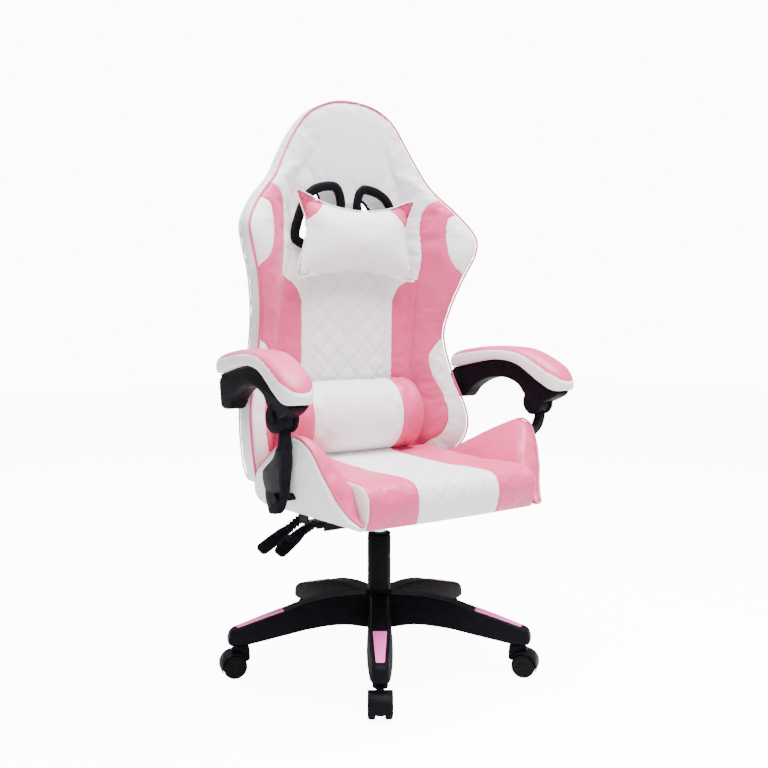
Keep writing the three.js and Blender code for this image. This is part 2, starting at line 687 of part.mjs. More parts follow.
function backBracket() {
  const { inner, outer, radius } = BACK_EAR;
  const plateFront = FRAME.rear + GAP;
  const plate = box(-outer, outer, plateFront, plateFront + 5, 432, 500);
  const ears = [-1, 1].map((side) => {
    const near = Math.min(side * inner, side * outer);
    const arm = slabX(polygon([
      [plateFront, 425], [RECLINE.y - radius, RECLINE.z], [RECLINE.y + radius, RECLINE.z],
      [plateFront + 5, 480], [plateFront, 480],
    ]), near, near + outer - inner);
    const eye = slabX(disc(RECLINE.y, RECLINE.z, radius), near, near + outer - inner, 6);
    return join(arm, eye);
  });
  const hole = crossHole(RECLINE.y, RECLINE.z, HINGE_PIN_RADIUS + GAP, -outer - 5, outer + 5);
  return cut(join(plate, ...ears), hole);
}

function hingePin() {
  const reach = HINGE_EAR.outer + GAP;
  return turnedX([
    [0, -reach - 5], [10, -reach - 5], [10, -reach], [HINGE_PIN_RADIUS, -reach],
    [HINGE_PIN_RADIUS, reach], [10, reach], [10, reach + 5], [0, reach + 5],
  ], RECLINE.y, RECLINE.z, 12);
}

// ---- Backrest -------------------------------------------------------------------------------

function backFront({ half, fold, edge, face }, x) {
  const along = Math.min(Math.max((Math.abs(x) - fold) / (half - fold), 0), 1);
  return face + Math.pow(Math.sin((Math.PI / 2) * along), WING_POWER) * (edge - face);
}

function backRear({ half, edge, face, thick, rim }, x) {
  const across = Math.min(Math.abs(x) / half, 1);
  const middle = face + thick;
  return middle + Math.pow(across, REAR_POWER) * (edge + rim - middle);
}

// Crescent section between two surfaces of the backrest at one height. As many of its columns as
// margin says are left out at each side.
function crescent(station, margin, first, second) {
  const wing = WING_COLUMNS.map((share) => station.fold + share * (station.half - station.fold));
  const half = [station.fold / 2, station.fold, ...wing];
  half.length -= margin;
  const outward = [...half.map((x) => -x).reverse(), 0, ...half];
  const oneSide = outward.map((x) => new THREE.Vector3(x, first(station, x), station.z));
  const otherSide = outward.map((x) => new THREE.Vector3(x, second(station, x), station.z)).reverse();
  return [...oneSide, ...otherSide];
}

function holeOutline(side, distance) {
  const outline = inset(HARNESS_HOLE, distance);
  return side > 0 ? outline : mirrored(outline);
}

function holePrism(side, distance, from, to) {
  return slabY(rounded(holeOutline(side, distance), 14), from, to, 2);
}

function notchTool() {
  return box(-NOTCH.halfX, NOTCH.halfX, 40, 260, 340, NOTCH.top);
}

// Bent frame as an outline in x and z, grown all round by a clearance.
function frameSolid(grow, front, rear) {
  const outer = FRAME_OUTLINE.concat(mirrored(FRAME_OUTLINE)).reverse();
  const turn = inset(outer, -grow);
  const inner = inset(outer, FRAME.bar + grow);
  const shape = rounded(turn, 30);
  shape.holes.push(rounded(inner, 24));
  const hoop = slabY(shape, front, rear, 3);
  const halfX = FRAME_OUTLINE.at(-1)[0] - FRAME.bar / 2;
  const rail = box(-halfX, halfX, front, rear, FRAME_RAIL_Z - grow, FRAME_RAIL_Z + FRAME.bar + grow);
  return join(hoop, rail);
}

function backCushion() {
  const body = loft(BACK_STATIONS.map((station) => crescent(station, 0, backFront, backRear)));
  const groove = frameSolid(GAP, FRAME.front - GAP, 240);
  const bracketRoom = box(-BACK_EAR.outer - 4, BACK_EAR.outer + 4, FRAME.front - GAP, 240, 400, 506);
  const holes = [-1, 1].map((side) => holePrism(side, BEZEL_WIDTH - BEZEL_LINER - GAP, 40, 240));
  const boltHoles = [-1, 1].map((side) =>
    crossHole(ARM_REAR.y, ARM_REAR.z, PIVOT_RADIUS + 2, side > 0 ? 240 : -300, side > 0 ? 300 : -240));
  return cut(body, groove, bracketRoom, notchTool(), ...holes, ...boltHoles);
}

function backPanel() {
  const inside = (station, x) => backRear(station, x) + GAP;
  const outside = (station, x) => inside(station, x) + PANEL_THICK;
  const stations = BACK_STATIONS.slice(0, -1);
  const body = loft(stations.map((station) => crescent(station, 1, outside, inside)));
  const holes = [-1, 1].map((side) => holePrism(side, BEZEL_WIDTH - BEZEL_LINER - GAP, 40, 260));
  return cut(body, notchTool(), ...holes);
}

function holeBezel(side) {
  const flange = rounded(holeOutline(side, 0), 16);
  flange.holes.push(rounded(holeOutline(side, BEZEL_WIDTH), 12));
  const liner = rounded(holeOutline(side, BEZEL_WIDTH - BEZEL_LINER), 14);
  liner.holes.push(rounded(holeOutline(side, BEZEL_WIDTH), 12));
  const lip = slabY(flange, BEZEL_REAR - BEZEL_FLANGE, BEZEL_REAR, 2);
  return join(lip, slabY(liner, BEZEL_REAR - 1, BEZEL_LINER_END, 2));
}

// Plump pillow: rings along X that bulge towards the sitter.
function headPillow() {
  const { halfX, bottom, top, front, rear, waist } = HEAD_PILLOW;
  const columns = 8;
  const around = 12;
  const middle = (bottom + top) / 2;
  const rings = [];
  for (let i = 0; i <= columns; i++) {
    const across = (2 * i) / columns - 1;
    const half = (top - bottom) / 2 - waist * (1 - across * across);
    const swell = 0.2 + 0.8 * Math.sqrt(1 - 0.96 * across * across);
    const ring = [];
    for (let j = 0; j < around; j++) {
      const angle = ((j + 0.5) / around) * 2 * Math.PI;
      const depth = Math.max(Math.sin(angle), -0.25) * (rear - front) * 0.8 * swell;
      ring.push(new THREE.Vector3(across * halfX, rear - (rear - front) * 0.2 * swell - depth,
        middle + half * Math.sign(Math.cos(angle)) * Math.pow(Math.abs(Math.cos(angle)), 0.6)));
    }
    rings.push(ring);
  }
  return loft(rings);
}

// Elastic band that runs through both harness holes and round the back.
function headStrap() {
  const { halfX, front, rear, bottom, top, thick } = STRAP;
  const corners = [[-halfX, front], [halfX, front], [halfX, rear], [-halfX, rear]];
  const band = rounded(corners, 8);
  band.holes.push(rounded(inset(corners, thick), 6));
  return slabZ(band, bottom, top, 3);
}

function lumbarPillow() {
  const { halfX, y, z, radius, rear } = LUMBAR;
  const around = 18;
  const slices = [[-1, 0.72], [-0.94, 0.94], [-0.7, 1], [0.7, 1], [0.94, 0.94], [1, 0.72]];
  return loft(slices.map(([across, scale]) => {
    const ring = [];
    for (let j = 0; j < around; j++) {
      const angle = ((j + 0.5) / around) * 2 * Math.PI;
      const depth = Math.min(-radius * scale * Math.sin(angle), rear - y);
      ring.push(new THREE.Vector3(across * halfX, y + depth, z + radius * scale * Math.cos(angle)));
    }
    return ring;
  }));
}

// ---- Armrests -------------------------------------------------------------------------------

// Middle plane of an armrest at a depth.
function armMiddle(y) {
  return ARM_X - ARM_TOE * (y - ARM_FRONT.y);
}

function armPad(side) {
  const ends = PAD_STATIONS.length - 1;
  const rings = PAD_STATIONS.map(({ y, top, bottom }, i) => {
    const along = (2 * i) / ends - 1;
    const half = PAD_HALF * Math.sqrt(1 - 0.82 * Math.pow(Math.abs(along), 7));
    const low = bottom + GAP;
    const tall = top - low;
    const outline = [
      [-half + 3, low], [-half, low + 0.3 * tall], [-half * 0.93, low + 0.66 * tall],
      [-half * 0.7, low + 0.88 * tall], [-half * 0.3, top], [half * 0.3, top],
      [half * 0.7, low + 0.88 * tall], [half * 0.93, low + 0.66 * tall], [half, low + 0.3 * tall],
      [half - 3, low],
    ];
    return outline.map(([x, z]) => new THREE.Vector3(side * armMiddle(y) + x, y, z));
  });
  return loft(rings);
}

function upperArm(side) {
  const from = side * ARM_X - ARM_HALF;
  const to = side * ARM_X + ARM_HALF;
  const underPad = PAD_STATIONS.slice(1, -2).map(({ y, bottom }) => [y, bottom]);
  const shear = new THREE.Matrix4().makeShear(0, 0, -side * ARM_TOE, 0, 0, 0);
  const shell = slabX(polygon([...underPad, ...ARM_UNDERSIDE]), from, to)
    .applyMatrix4(shear).translate(side * ARM_TOE * ARM_FRONT.y, 0, 0);
  const eye = slabX(disc(ARM_FRONT.y, ARM_FRONT.z, DISC_RADIUS), from, to, 7);
  const slotHalf = LINK_THICK / 2 + 0.8;
  const slotOutline = [
    [ARM_FRONT.y - 34, ARM_FRONT.z + DISC_RADIUS], [ARM_FRONT.y - 44, ARM_FRONT.z - 40],
    [ARM_FRONT.y + 60, ARM_FRONT.z - 40], [ARM_FRONT.y + 34, ARM_FRONT.z + DISC_RADIUS],
  ];
  const slot = slabX(polygon(slotOutline), side * ARM_X - slotHalf, side * ARM_X + slotHalf);
  const frontHole = crossHole(ARM_FRONT.y, ARM_FRONT.z, PIVOT_RADIUS + GAP, from - 5, to + 5);
  const rearHole = crossHole(ARM_REAR.y, ARM_REAR.z, PIVOT_RADIUS + GAP, from - 40, to + 40);
  return cut(join(shell, eye), slot, frontHole, rearHole);
}

// Sideways place of the link's middle plane at a height.
function linkX(z) {
  const share = Math.min(Math.max((z - LINK_LEAN.from) / (LINK_LEAN.to - LINK_LEAN.from), 0), 1);
  return LINK_FOOT_X + share * (ARM_X - LINK_FOOT_X);
}

function lowerLink(side) {
  const neck = 14.5;
  const stations = [
    // height, front y, rear y
    [364, -66, -14], [372, -76, -8], [392, -97, -12], [403, -108, -15], [412, -117, -19], [432, -138, -27],
    [450, -151, -46], [470, -163, -75], [500, -178, -112], [520, -176, -131],
    [ARM_FRONT.z, ARM_FRONT.y - neck, ARM_FRONT.y + neck],
  ];
  const rings = stations.map(([z, front, rear]) => {
    const x = linkX(z);
    const half = LINK_THICK / 2;
    return [[x - half, front], [x - half, rear], [x + half, rear], [x + half, front]]
      .map(([sideX, y]) => new THREE.Vector3(side * sideX, y, z));
  });
  const middle = side * ARM_X;
  const eye = slabX(disc(ARM_FRONT.y, ARM_FRONT.z, DISC_RADIUS - 3), middle - LINK_THICK / 2,
    middle + LINK_THICK / 2, 6);
  const topHole = crossHole(ARM_FRONT.y, ARM_FRONT.z, PIVOT_RADIUS + 0.8, middle - 20, middle + 20);
  const footHole = crossHole(LINK_FOOT.y, LINK_FOOT.z, PIVOT_RADIUS + GAP, side * LINK_FOOT_X - 20,
    side * LINK_FOOT_X + 20);
  return cut(join(loft(rings), eye), topHole, footHole);
}

// Headed pin along X; the head is on the outer side of the chair.
function pivotPin(side, pivot, inner, outer, headRadius) {
  const profile = [
    [0, inner], [PIVOT_RADIUS, inner], [PIVOT_RADIUS, outer], [headRadius, outer],
    [headRadius - 1, outer + 4], [0, outer + 4],
  ];
  const pin = turned(profile, 12).rotateY((side * Math.PI) / 2);
  return pin.translate(0, pivot.y, pivot.z);
}

// Angle bracket under the seat board, turned up outside the bolster to carry the link's foot.
function seatArmBracket(side) {
  const halfY = 17;
  const upright = { inner: 259, outer: 263 };
  const foot = box(110, upright.outer, LINK_FOOT.y - halfY, LINK_FOOT.y + halfY, 336, 340);
  const wall = box(upright.inner, upright.outer, LINK_FOOT.y - halfY, LINK_FOOT.y + halfY, 336, 408);
  const collar = turnedX(rodProfile(10, upright.outer - 1, LINK_FOOT_X - LINK_THICK / 2 - 0.8),
    LINK_FOOT.y, LINK_FOOT.z, 14);
  const hole = crossHole(LINK_FOOT.y, LINK_FOOT.z, PIVOT_RADIUS + GAP, 240, 300);
  const bracket = cut(join(foot, wall, collar), hole);
  return side > 0 ? bracket : bracket.rotateZ(Math.PI).translate(0, 2 * LINK_FOOT.y, 0);
}

// Round spacer between the backrest's side and the armrest's rear block.
function armSpacer(side) {
  const radius = 14;
  const outer = armMiddle(ARM_REAR.y + radius) - ARM_HALF - 0.8;
  const profile = ringProfile(PIVOT_RADIUS + GAP, radius, SPACER_INNER, outer);
  return turned(profile, 18).rotateY((side * Math.PI) / 2).translate(0, ARM_REAR.y, ARM_REAR.z);
}

// ---- The chair ------------------------------------------------------------------------------

const chair = new THREE.Group();
chair.position.y = CHAIR_SHIFT_Y;

function add(name, geometry, material) {
  const mesh = new THREE.Mesh(positionsOnly(geometry), MATERIALS[material]());
  mesh.name = name;
  chair.add(mesh);
}

add('base_star', baseStar(), 'blackPlastic');
for (let i = 0; i < LEG_COUNT; i++) {
  const number = i + 1;
  const insert = insertPlate(0, INSERT.thick, INSERT.proud).rotateZ(legAngle(i));
  add(`leg_insert_${number}`, insert, 'pinkPlastic');
  add(`caster_hood_${number}`, placeCaster(casterHood(), i), 'blackPlastic');
  add(`caster_wheels_${number}`, placeCaster(wheelPair(), i), 'blackPlastic');
}

add('column_tube', columnTube(), 'blackSteel');
add('column_bush', columnBush(), 'blackPlastic');
add('thrust_bearing', thrustBearing(), 'zincSteel');
add('piston_rod', pistonRod(), 'zincSteel');
add('gas_cylinder', gasCylinder(), 'chrome');

add('mech_housing', mechHousing(), 'blackSteel');
for (const lever of LEVERS) {
  add(`${lever.name}_rod`, leverRod(lever), 'blackSteel');
  add(`${lever.name}_boot`, leverBoot(lever), 'blackRubber');
  add(`${lever.name}_paddle`, leverPaddle(lever), 'blackPlastic');
}

add('seat_board', seatBoard(), 'plywood');
add('seat_cushion', seatCushion(), 'whiteLeather');
add('hinge_bracket', hingeBracket(), 'blackSteel');
add('hinge_pin', hingePin(), 'zincSteel');
add('back_bracket', backBracket(), 'blackSteel');
add('back_frame', frameSolid(0, FRAME.front, FRAME.rear), 'blackSteel');
add('back_cushion', backCushion(), 'whiteLeather');
add('back_panel', backPanel(), 'whiteLeather');
add('head_pillow', headPillow(), 'whiteLeather');
add('head_strap', headStrap(), 'blackWebbing');
add('lumbar_pillow', lumbarPillow(), 'whiteLeather');

for (const [end, side] of [['right', -1], ['left', 1]]) {
  add(`bolster_${end}`, bolster(side), 'pinkLeather');
  add(`hole_bezel_${end}`, holeBezel(side), 'blackPlastic');
  add(`upper_arm_${end}`, upperArm(side), 'blackPlastic');
  add(`arm_pad_${end}`, armPad(side), 'pinkLeather');
  add(`lower_link_${end}`, lowerLink(side), 'blackPlastic');
  add(`arm_front_pin_${end}`,
    pivotPin(side, ARM_FRONT, ARM_X - ARM_HALF + 2, armMiddle(ARM_FRONT.y - PIN_HEAD) + ARM_HALF + GAP,
      PIN_HEAD), 'blackPlastic');
  add(`arm_rear_bolt_${end}`,
    pivotPin(side, ARM_REAR, 244, armMiddle(ARM_REAR.y - BOLT_HEAD) + ARM_HALF + GAP, BOLT_HEAD),
    'blackPlastic');
  add(`link_foot_bolt_${end}`,
    pivotPin(side, LINK_FOOT, 252, LINK_FOOT_X + LINK_THICK / 2 + GAP, 10), 'zincSteel');
  add(`arm_spacer_${end}`, armSpacer(side), 'blackPlastic');
  add(`seat_arm_bracket_${end}`, seatArmBracket(side), 'blackSteel');
}

export default chair;
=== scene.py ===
"""Looks of the gaming chair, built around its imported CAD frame.

Lengths in the tables are millimetres from the swivel axis and the floor; placed() moves them to
where the frame's seat_swivel joint has that axis. Most tables give the half at the sitter's left.
"""
import json
import math

import bmesh
import bpy
import numpy as np
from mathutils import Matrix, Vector
from mathutils.geometry import delaunay_2d_cdt
from mathutils.kdtree import KDTree


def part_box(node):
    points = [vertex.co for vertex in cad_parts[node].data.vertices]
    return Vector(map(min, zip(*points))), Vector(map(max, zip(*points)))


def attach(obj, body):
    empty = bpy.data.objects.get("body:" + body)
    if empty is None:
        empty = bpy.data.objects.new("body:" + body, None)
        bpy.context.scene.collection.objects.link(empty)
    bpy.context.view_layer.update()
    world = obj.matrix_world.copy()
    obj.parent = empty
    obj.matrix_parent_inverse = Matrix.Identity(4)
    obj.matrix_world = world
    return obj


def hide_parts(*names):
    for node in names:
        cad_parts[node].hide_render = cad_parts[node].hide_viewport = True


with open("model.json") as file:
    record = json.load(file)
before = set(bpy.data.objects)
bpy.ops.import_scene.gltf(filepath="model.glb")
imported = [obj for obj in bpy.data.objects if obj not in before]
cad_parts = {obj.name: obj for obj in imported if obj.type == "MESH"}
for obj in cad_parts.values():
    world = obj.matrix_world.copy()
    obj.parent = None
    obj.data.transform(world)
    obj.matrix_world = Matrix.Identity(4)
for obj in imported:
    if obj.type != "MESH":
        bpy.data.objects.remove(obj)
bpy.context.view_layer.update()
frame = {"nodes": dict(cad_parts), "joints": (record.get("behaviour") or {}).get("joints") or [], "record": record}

JOINTS = {joint["name"]: joint for joint in frame["joints"]}
AXIS_Y = JOINTS["seat_swivel"]["pos_m"][1] * 1000
SIDES = (("right", -1), ("left", 1))

# ---- Driving dimensions ---------------------------------------------------------------------

LEATHER_STEP = 8.0  # spacing of the points of a leather panel
QUILT_PITCH = 37.0  # distance between neighbouring quilting lines, measured across
PIPING_RADIUS = 2.3
SEAM_WIDTH = 3.0
SEAM_SHADE_REACH = 2.2  # reach of the painted shade along a seam
CLOTH_FRAMES = 16
CLOTH_STIFFNESS = 20.0
CLOTH_BENDING = 0.6

# Backrest. Each row: height, half width, where the wing starts, y of the side edge, y of the
# front face, thickness in the middle, depth of the boxing at the side edge.
BACK_ROWS = [
    (382, 190, 150, 128, 120, 66, 40),
    (400, 236, 190, 104, 120, 74, 44),
    (436, 268, 196, 60, 120, 76, 48),
    (474, 283, 186, 40, 120, 76, 50),
    (515, 286, 180, 40, 120, 76, 50),
    (560, 279, 180, 54, 120, 76, 48),
    (620, 261, 178, 69, 118, 76, 46),
    (700, 245, 172, 78, 116, 76, 44),
    (764, 251, 166, 62, 115, 76, 44),
    (831, 269, 158, 39, 115, 75, 44),
    (889, 292, 148, 21, 115, 75, 44),
    (931, 294, 148, 24, 115, 74, 44),
    (983, 257, 145, 49, 115, 72, 42),
    (1035, 205, 135, 76, 113, 68, 38),
    (1085, 174, 105, 92, 108, 60, 34),
    (1135, 143, 70, 99, 102, 52, 30),
    (1175, 110, 45, 98, 98, 42, 26),
    (1198, 68, 25, 95, 95, 30, 20),
    (1208, 26, 8, 96, 96, 16, 14),
]
WING_POWER = 1.1
REAR_POWER = 3
NOTCH = (116, 444)  # half width and height of the notch for the recline hinge
HARNESS_HOLE = [(15, 1012), (18, 966), (72, 888), (130, 892), (149, 924), (110, 1014), (42, 1038)]

# Seams of the right-hand half of the backrest's front, as distance from the middle and height.
WING_INNER = [(217, 1014), (198, 1004), (185, 986), (180, 950), (182, 910), (183, 869), (180, 832)]
LOBE_EDGE = [(180, 832), (160, 825), (138, 810), (126, 788), (122, 762), (122, 600), (122, 446)]
FOLD_SEAM = [(180, 832), (180, 738), (180, 678), (178, 620), (180, 520), (190, 430)]
UPPER_PATCH = [(257, 981), (237, 973), (229, 950), (228, 920), (232, 888), (245, 862), (273, 840)]
LOWER_PATCH = [(242, 694), (227, 682), (213, 660), (213, 633), (221, 603), (237, 568), (244, 533),
               (242, 498), (229, 468), (208, 446), (196, 420), (190, 398)]
QUILT_HALF = 101
QUILT_TOP = 884
SHOULDER_SEAM = [(103, 884), (178, 887)]
REAR_CROSS_SEAMS = ((190, 640), (210, 1000))  # half length and height
REAR_SIDE_SEAM = [(150, 382), (160, 640), (165, 820), (150, 1000), (90, 1150)]
HOLE_WALL = -17  # leather wall of a harness hole, measured from the bezel's outline

# Bezels of the harness holes: growth of the outline and depth behind the backrest's face
BEZEL_FRONT = [(-20, 9), (-20, 3), (-18.5, 0.5), (-15.5, -1), (-5, -1), (-1.5, 0.6), (0, 3.5), (0.5, 9)]
BEZEL_REAR = [(-16.5, 74), (-16, 84), (-13, 88), (-3, 88), (0, 85), (0.5, 76)]
BEZEL_SIDES = 96

# Seat cushion: y and height round its profile, from the lower front edge to the lower rear edge.
SEAT_HALF = 213
SEAT_FLOOR = 348
SEAT_PROFILE = [(-246, 348), (-253, 360), (-257, 374), (-260, 396), (-255, 416), (-238, 430), (-196, 434),
                (-100, 434), (20, 440), (60, 444), (80, 448), (92, 444), (95, 426), (91, 400), (90, 348)]
SEAT_NOSE = 8  # how much further forward the middle reaches than the corners
SEAT_WHITE_FRONT = 100
SEAT_WHITE_REAR = 88
BOARD_INSET = 20

# Seat bolsters
BOLSTER_INNER = 218
BOLSTER_FLOOR = 352
BOLSTER_CREASE = 430
BOLSTER_FOOT = 12  # width of the underside
BOLSTER_POINTS = (12, 20)  # points along the outer and the inner side of a section
# Crest of a bolster in y and z, and how far out it lies at a height
BOLSTER_TOP = [(-257, 359), (-249, 367), (-240, 376), (-230, 391), (-220, 410), (-212, 430), (-202, 451),
               (-193, 470), (-182, 490), (-168, 506), (-152, 515), (-132, 518), (-100, 508), (-50, 487),
               (0, 460), (40, 436), (62, 416), (80, 398), (92, 376)]
BOLSTER_SPREAD = ((356, 366, 375, 390, 410, 430, 450, 470, 490, 518),
                  (231, 241, 248, 257, 267, 275, 281, 287, 291, 301))

# Arm pads. Each row: y, height of the top and of the underside.
PAD_HALF = 36
PAD_ROWS = [(-235, 609, 592), (-230, 620, 584), (-215, 635, 583), (-195, 647, 592), (-170, 660, 606),
            (-145, 670, 622), (-120, 677, 636), (-90, 680, 645), (-50, 681, 648), (-10, 680, 644),
            (30, 676, 637), (66, 670, 630), (88, 661, 627), (95, 652, 633)]

# Armrests, seen from the side in y and z
ARM_X = 328  # middle plane at the front pivot
ARM_TOE = 0.085  # outward lean per millimetre forward
ARM_HALF = 20
ARM_PIVOT = (-150, 556)
ARM_UNDERSIDE = [
    # from the front end under the arch to the rear block's top
    (-219, 577), (-209, 570), (-186, 560), (-160, 552), (-138, 556), (-128, 568), (-117, 582),
    (-104, 595), (-74, 606), (-39, 607), (-3, 600), (30, 583), (47, 566), (58, 558), (86, 557), (96, 564),
    (100, 585), (104, 608), (100, 618),
]
CHEEK_RADIUS = 28  # the two round cheeks that hold the link's eye
CHEEK_REACH = 15.4
CAP_REACH = 21.6
CAP_PROFILE = [(0.5, 0), (15, 0), (16, -1), (16, -3)]
LINK_HALF = 10
LINK_EYE = 25
LINK_DEPTHS = ((400, 440, 500, 524), (11, 19, 19, 10))  # heights, and the blade's reach inward there
MOUNT_HALF = 15
MOUNT_PLATE = 4
MOUNT_FLOOR = 336
MOUNT_ROOT = 110  # how near the steel arm comes to the middle of the seat
BOLT_ROOTS = (244, 276)  # where the rear bolt and its washer start, from the middle
LINK_FOOT_X = 283
LINK_LEAN = (403, 496)  # heights between which the link leans outward
LINK_ROWS = [
    # height, y of the front edge and y of the rear edge
    (360, -54, -32), (363, -60, -27), (373, -69, -20), (394, -79, -13), (417, -92, -18), (442, -109, -37),
    (457, -124, -64), (476, -141, -104), (490, -151, -126), (504, -160, -143), (524, -167, -146),
    (535, -166, -146),
]

# Base. Each row: distance from the axis, height of the top and of the underside, half width there.
LEG_ROWS = [
    (22, 151, 80, 22, 25), (38, 151, 81, 21, 25), (76, 151, 89, 19, 24), (114, 150, 91, 18.5, 24),
    (164, 143, 88, 18.5, 25), (200, 133, 83, 19, 26), (249, 120, 75, 18, 24.5), (284, 110, 69, 15.5, 22),
    (305, 104, 67, 14, 20), (316, 101, 67, 13, 18.5), (324, 95, 68, 12, 16.5), (328, 84, 71, 10, 13),
]
TRIM_ENDS = (212, 310)
TRIM_HALVES = (14, 8.5)

# Levers under the sitter's right side: where the sloping part starts, bends and ends
LEVERS = {
    "height_lever": ((-150, 9, 321), (-192, 2, 306), (-250, -6, 272)),
    "recline_lever": ((-147, 72, 320), (-186, 70, 297), (-250, 67, 264)),
}
BOOT_RIBS = 5
RIB_PROFILE = ((7.2, 0.02), (10.4, 0.4), (10.4, 0.56), (7.2, 0.94))  # radius and share of a rib
PADDLE_ROLL = -35  # degrees towards the front

# Pillows
PILLOW_OUTLINE = [
    # right-hand half from the middle of the lower edge to the middle of the upper edge
    (0, 846), (55, 841), (112, 832), (148, 825), (158, 829), (152, 856), (141, 888), (133, 920),
    (134, 946), (144, 974), (156, 1003), (151, 1008), (122, 998), (90, 986), (45, 977), (0, 974),
]
PILLOW_SEAM_Y = 78
PILLOW_FRONT = 50
PILLOW_REAR = 102
PILLOW_STEP = 6
EAR_SEAM = [(84, 988), (97, 975), (112, 961), (127, 949), (142, 941)]
LUMBAR_SHIFT = -25  # it lies a little towards the sitter's right
LUMBAR_HALF = 180
LUMBAR_RADIUS = 75
LUMBAR_TALL = 1.09  # height of its section over the depth
LUMBAR_WHITE = 119
LUMBAR_CENTRE = (105, 525)  # y and height of its axis
LUMBAR_REAR = 106
LUMBAR_SIDES = 76
LUMBAR_PUCKERS = 19
LUMBAR_ENDS = [
    # distance beyond LUMBAR_HALF and share of the radius, over the rounded end
    (-10, 1.0), (-3, 0.93), (0, 0.8), (1, 0.6), (2, 0.38), (2, 0.16),
]


# ---- Places, curves and tables --------------------------------------------------------------

def placed(points):
    """Points in millimetres from the swivel axis, as points of the frame in metres."""
    return (np.asarray(points, float) + (0, AXIS_Y, 0)) / 1000


def box_of(node):
    """Opposite corners of a node's box, in millimetres from the swivel axis."""
    return np.array(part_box(node)) * 1000 - (0, AXIS_Y, 0)


def spline(points, closed=False, fine=12):
    """A smooth curve through points of any dimension, as a fine polyline."""
    p = np.asarray(points, float)
    if closed:
        p = np.vstack([p[-1:], p, p[:2]])
    else:
        p = np.vstack([2 * p[0] - p[1], p, 2 * p[-1] - p[-2]])
    t = np.linspace(0, 1, fine, endpoint=False)[:, None]
    pieces = [
        0.5 * (2 * b + (c - a) * t + (2 * a - 5 * b + 4 * c - d) * t**2 + (3 * b - a - 3 * c + d) * t**3)
        for a, b, c, d in zip(p, p[1:], p[2:], p[3:])
    ]
    if not closed:
        pieces.append(p[-2][None])
    return np.vstack(pieces)


def arc_lengths(points):
    steps = np.linalg.norm(np.diff(points, axis=0), axis=1)
    return np.concatenate([[0], np.cumsum(steps)])


def resampled(line, count):
    """The same line with a number of evenly spaced points."""
    run = arc_lengths(line)
    stops = np.linspace(0, run[-1], count)
    return np.column_stack([np.interp(stops, run, column) for column in line.T])


def even(points, step, closed=False):
    """The same line with its points spaced evenly, about one step apart."""
    line = np.asarray(points, float)
    if closed:
        line = np.vstack([line, line[:1]])
    line = resampled(line, max(2, round(arc_lengths(line)[-1] / step)) + 1)
    return line[:-1] if closed else line


def unit(vectors):
    return vectors / np.linalg.norm(vectors, axis=-1, keepdims=True)


def outward(outline):
    """Directions that lead out of a closed 2D outline at its points."""
    ahead = np.roll(outline, -1, axis=0) - np.roll(outline, 1, axis=0)
    normals = np.column_stack([ahead[:, 1], -ahead[:, 0]])
    normals /= np.maximum(np.linalg.norm(normals, axis=1)[:, None], 1e-9)
    (x, y), (next_x, next_y) = outline.T, np.roll(outline, -1, axis=0).T
    return normals * np.sign(np.sum(x * next_y - next_x * y))


def level(line, z):
    """A 2D line in x and y, at a height."""
    return np.column_stack([line, np.full(len(line), z)])


def stood(line, y):
    """A 2D line in x and z, at a depth."""
    return np.column_stack([line[:, 0], np.full(len(line), y), line[:, 1]])


def sideways(line, x):
    """A 2D line in y and z, at a distance from the middle."""
    return np.column_stack([np.full(len(line), x), line])


def rectangle(x0, x1, y0, y1):
    return [(x0, y0), (x1, y0), (x1, y1), (x0, y1)]


def skin(rows, size, closed=False):
    """Four-sided faces between rings of points that are numbered ring after ring."""
    pairs = [(row, (row + 1) % rows) for row in range(rows if closed else rows - 1)]
    return [
        (a * size + i, a * size + (i + 1) % size, b * size + (i + 1) % size, b * size + i)
        for a, b in pairs for i in range(size)
    ]


def loop_of(sides, step=LEATHER_STEP):
    """A closed outline whose sides meet at kept corners."""
    return np.vstack([even(side, step)[:-1] for side in sides])


def polygon(corners, step=LEATHER_STEP):
    """A closed outline with straight sides."""
    return loop_of(zip(corners, corners[1:] + corners[:1]), step)


def mirror(points):
    return [(-point[0], *point[1:]) for point in points]


def both_sides(line):
    return [np.asarray(line, float), np.asarray(mirror(line), float)]


def inside(points, polygon):
    """Which 2D points lie inside a polygon."""
    x, y = points[:, 0], points[:, 1]
    result = np.zeros(len(points), bool)
    for (x0, y0), (x1, y1) in zip(polygon, np.roll(polygon, -1, axis=0)):
        if y0 == y1:
            continue
        spans = (y0 > y) != (y1 > y)
        result ^= spans & (x < x0 + (x1 - x0) * (y - y0) / (y1 - y0))
    return result


def kd_tree(points):
    tree = KDTree(len(points))
    for index, point in enumerate(points):
        tree.insert((*point, 0)[:3], index)
    tree.balance()
    return tree


def nearest(tree, points):
    return np.array([tree.find((*point, 0)[:3])[2] for point in points])


# ---- Flat panels cut to an outline ----------------------------------------------------------

def trimmed_seam(seam, outline, step):
    """A seam spaced evenly; where it reaches the outline it ends on one of the outline's points."""
    line = even(seam, step)
    border = kd_tree(outline)
    distance = nearest(border, line)
    keep = inside(line, outline) & (distance > 0.7 * step)
    kept = line[keep]
    if not keep[0]:
        kept = np.vstack([outline[border.find((*kept[0], 0))[1]], kept])
    if not keep[-1]:
        kept = np.vstack([kept, outline[border.find((*kept[-1], 0))[1]]])
    return kept


def linked(lines):
    """The points of lines, given with whether they are closed, and the edges along them."""
    points, edges = [], []
    for line, closed in lines:
        first = len(points)
        points += [tuple(point) for point in line]
        edges += [(first + i, first + i + 1) for i in range(len(line) - 1)]
        if closed:
            edges.append((len(points) - 1, first))
    return points, edges


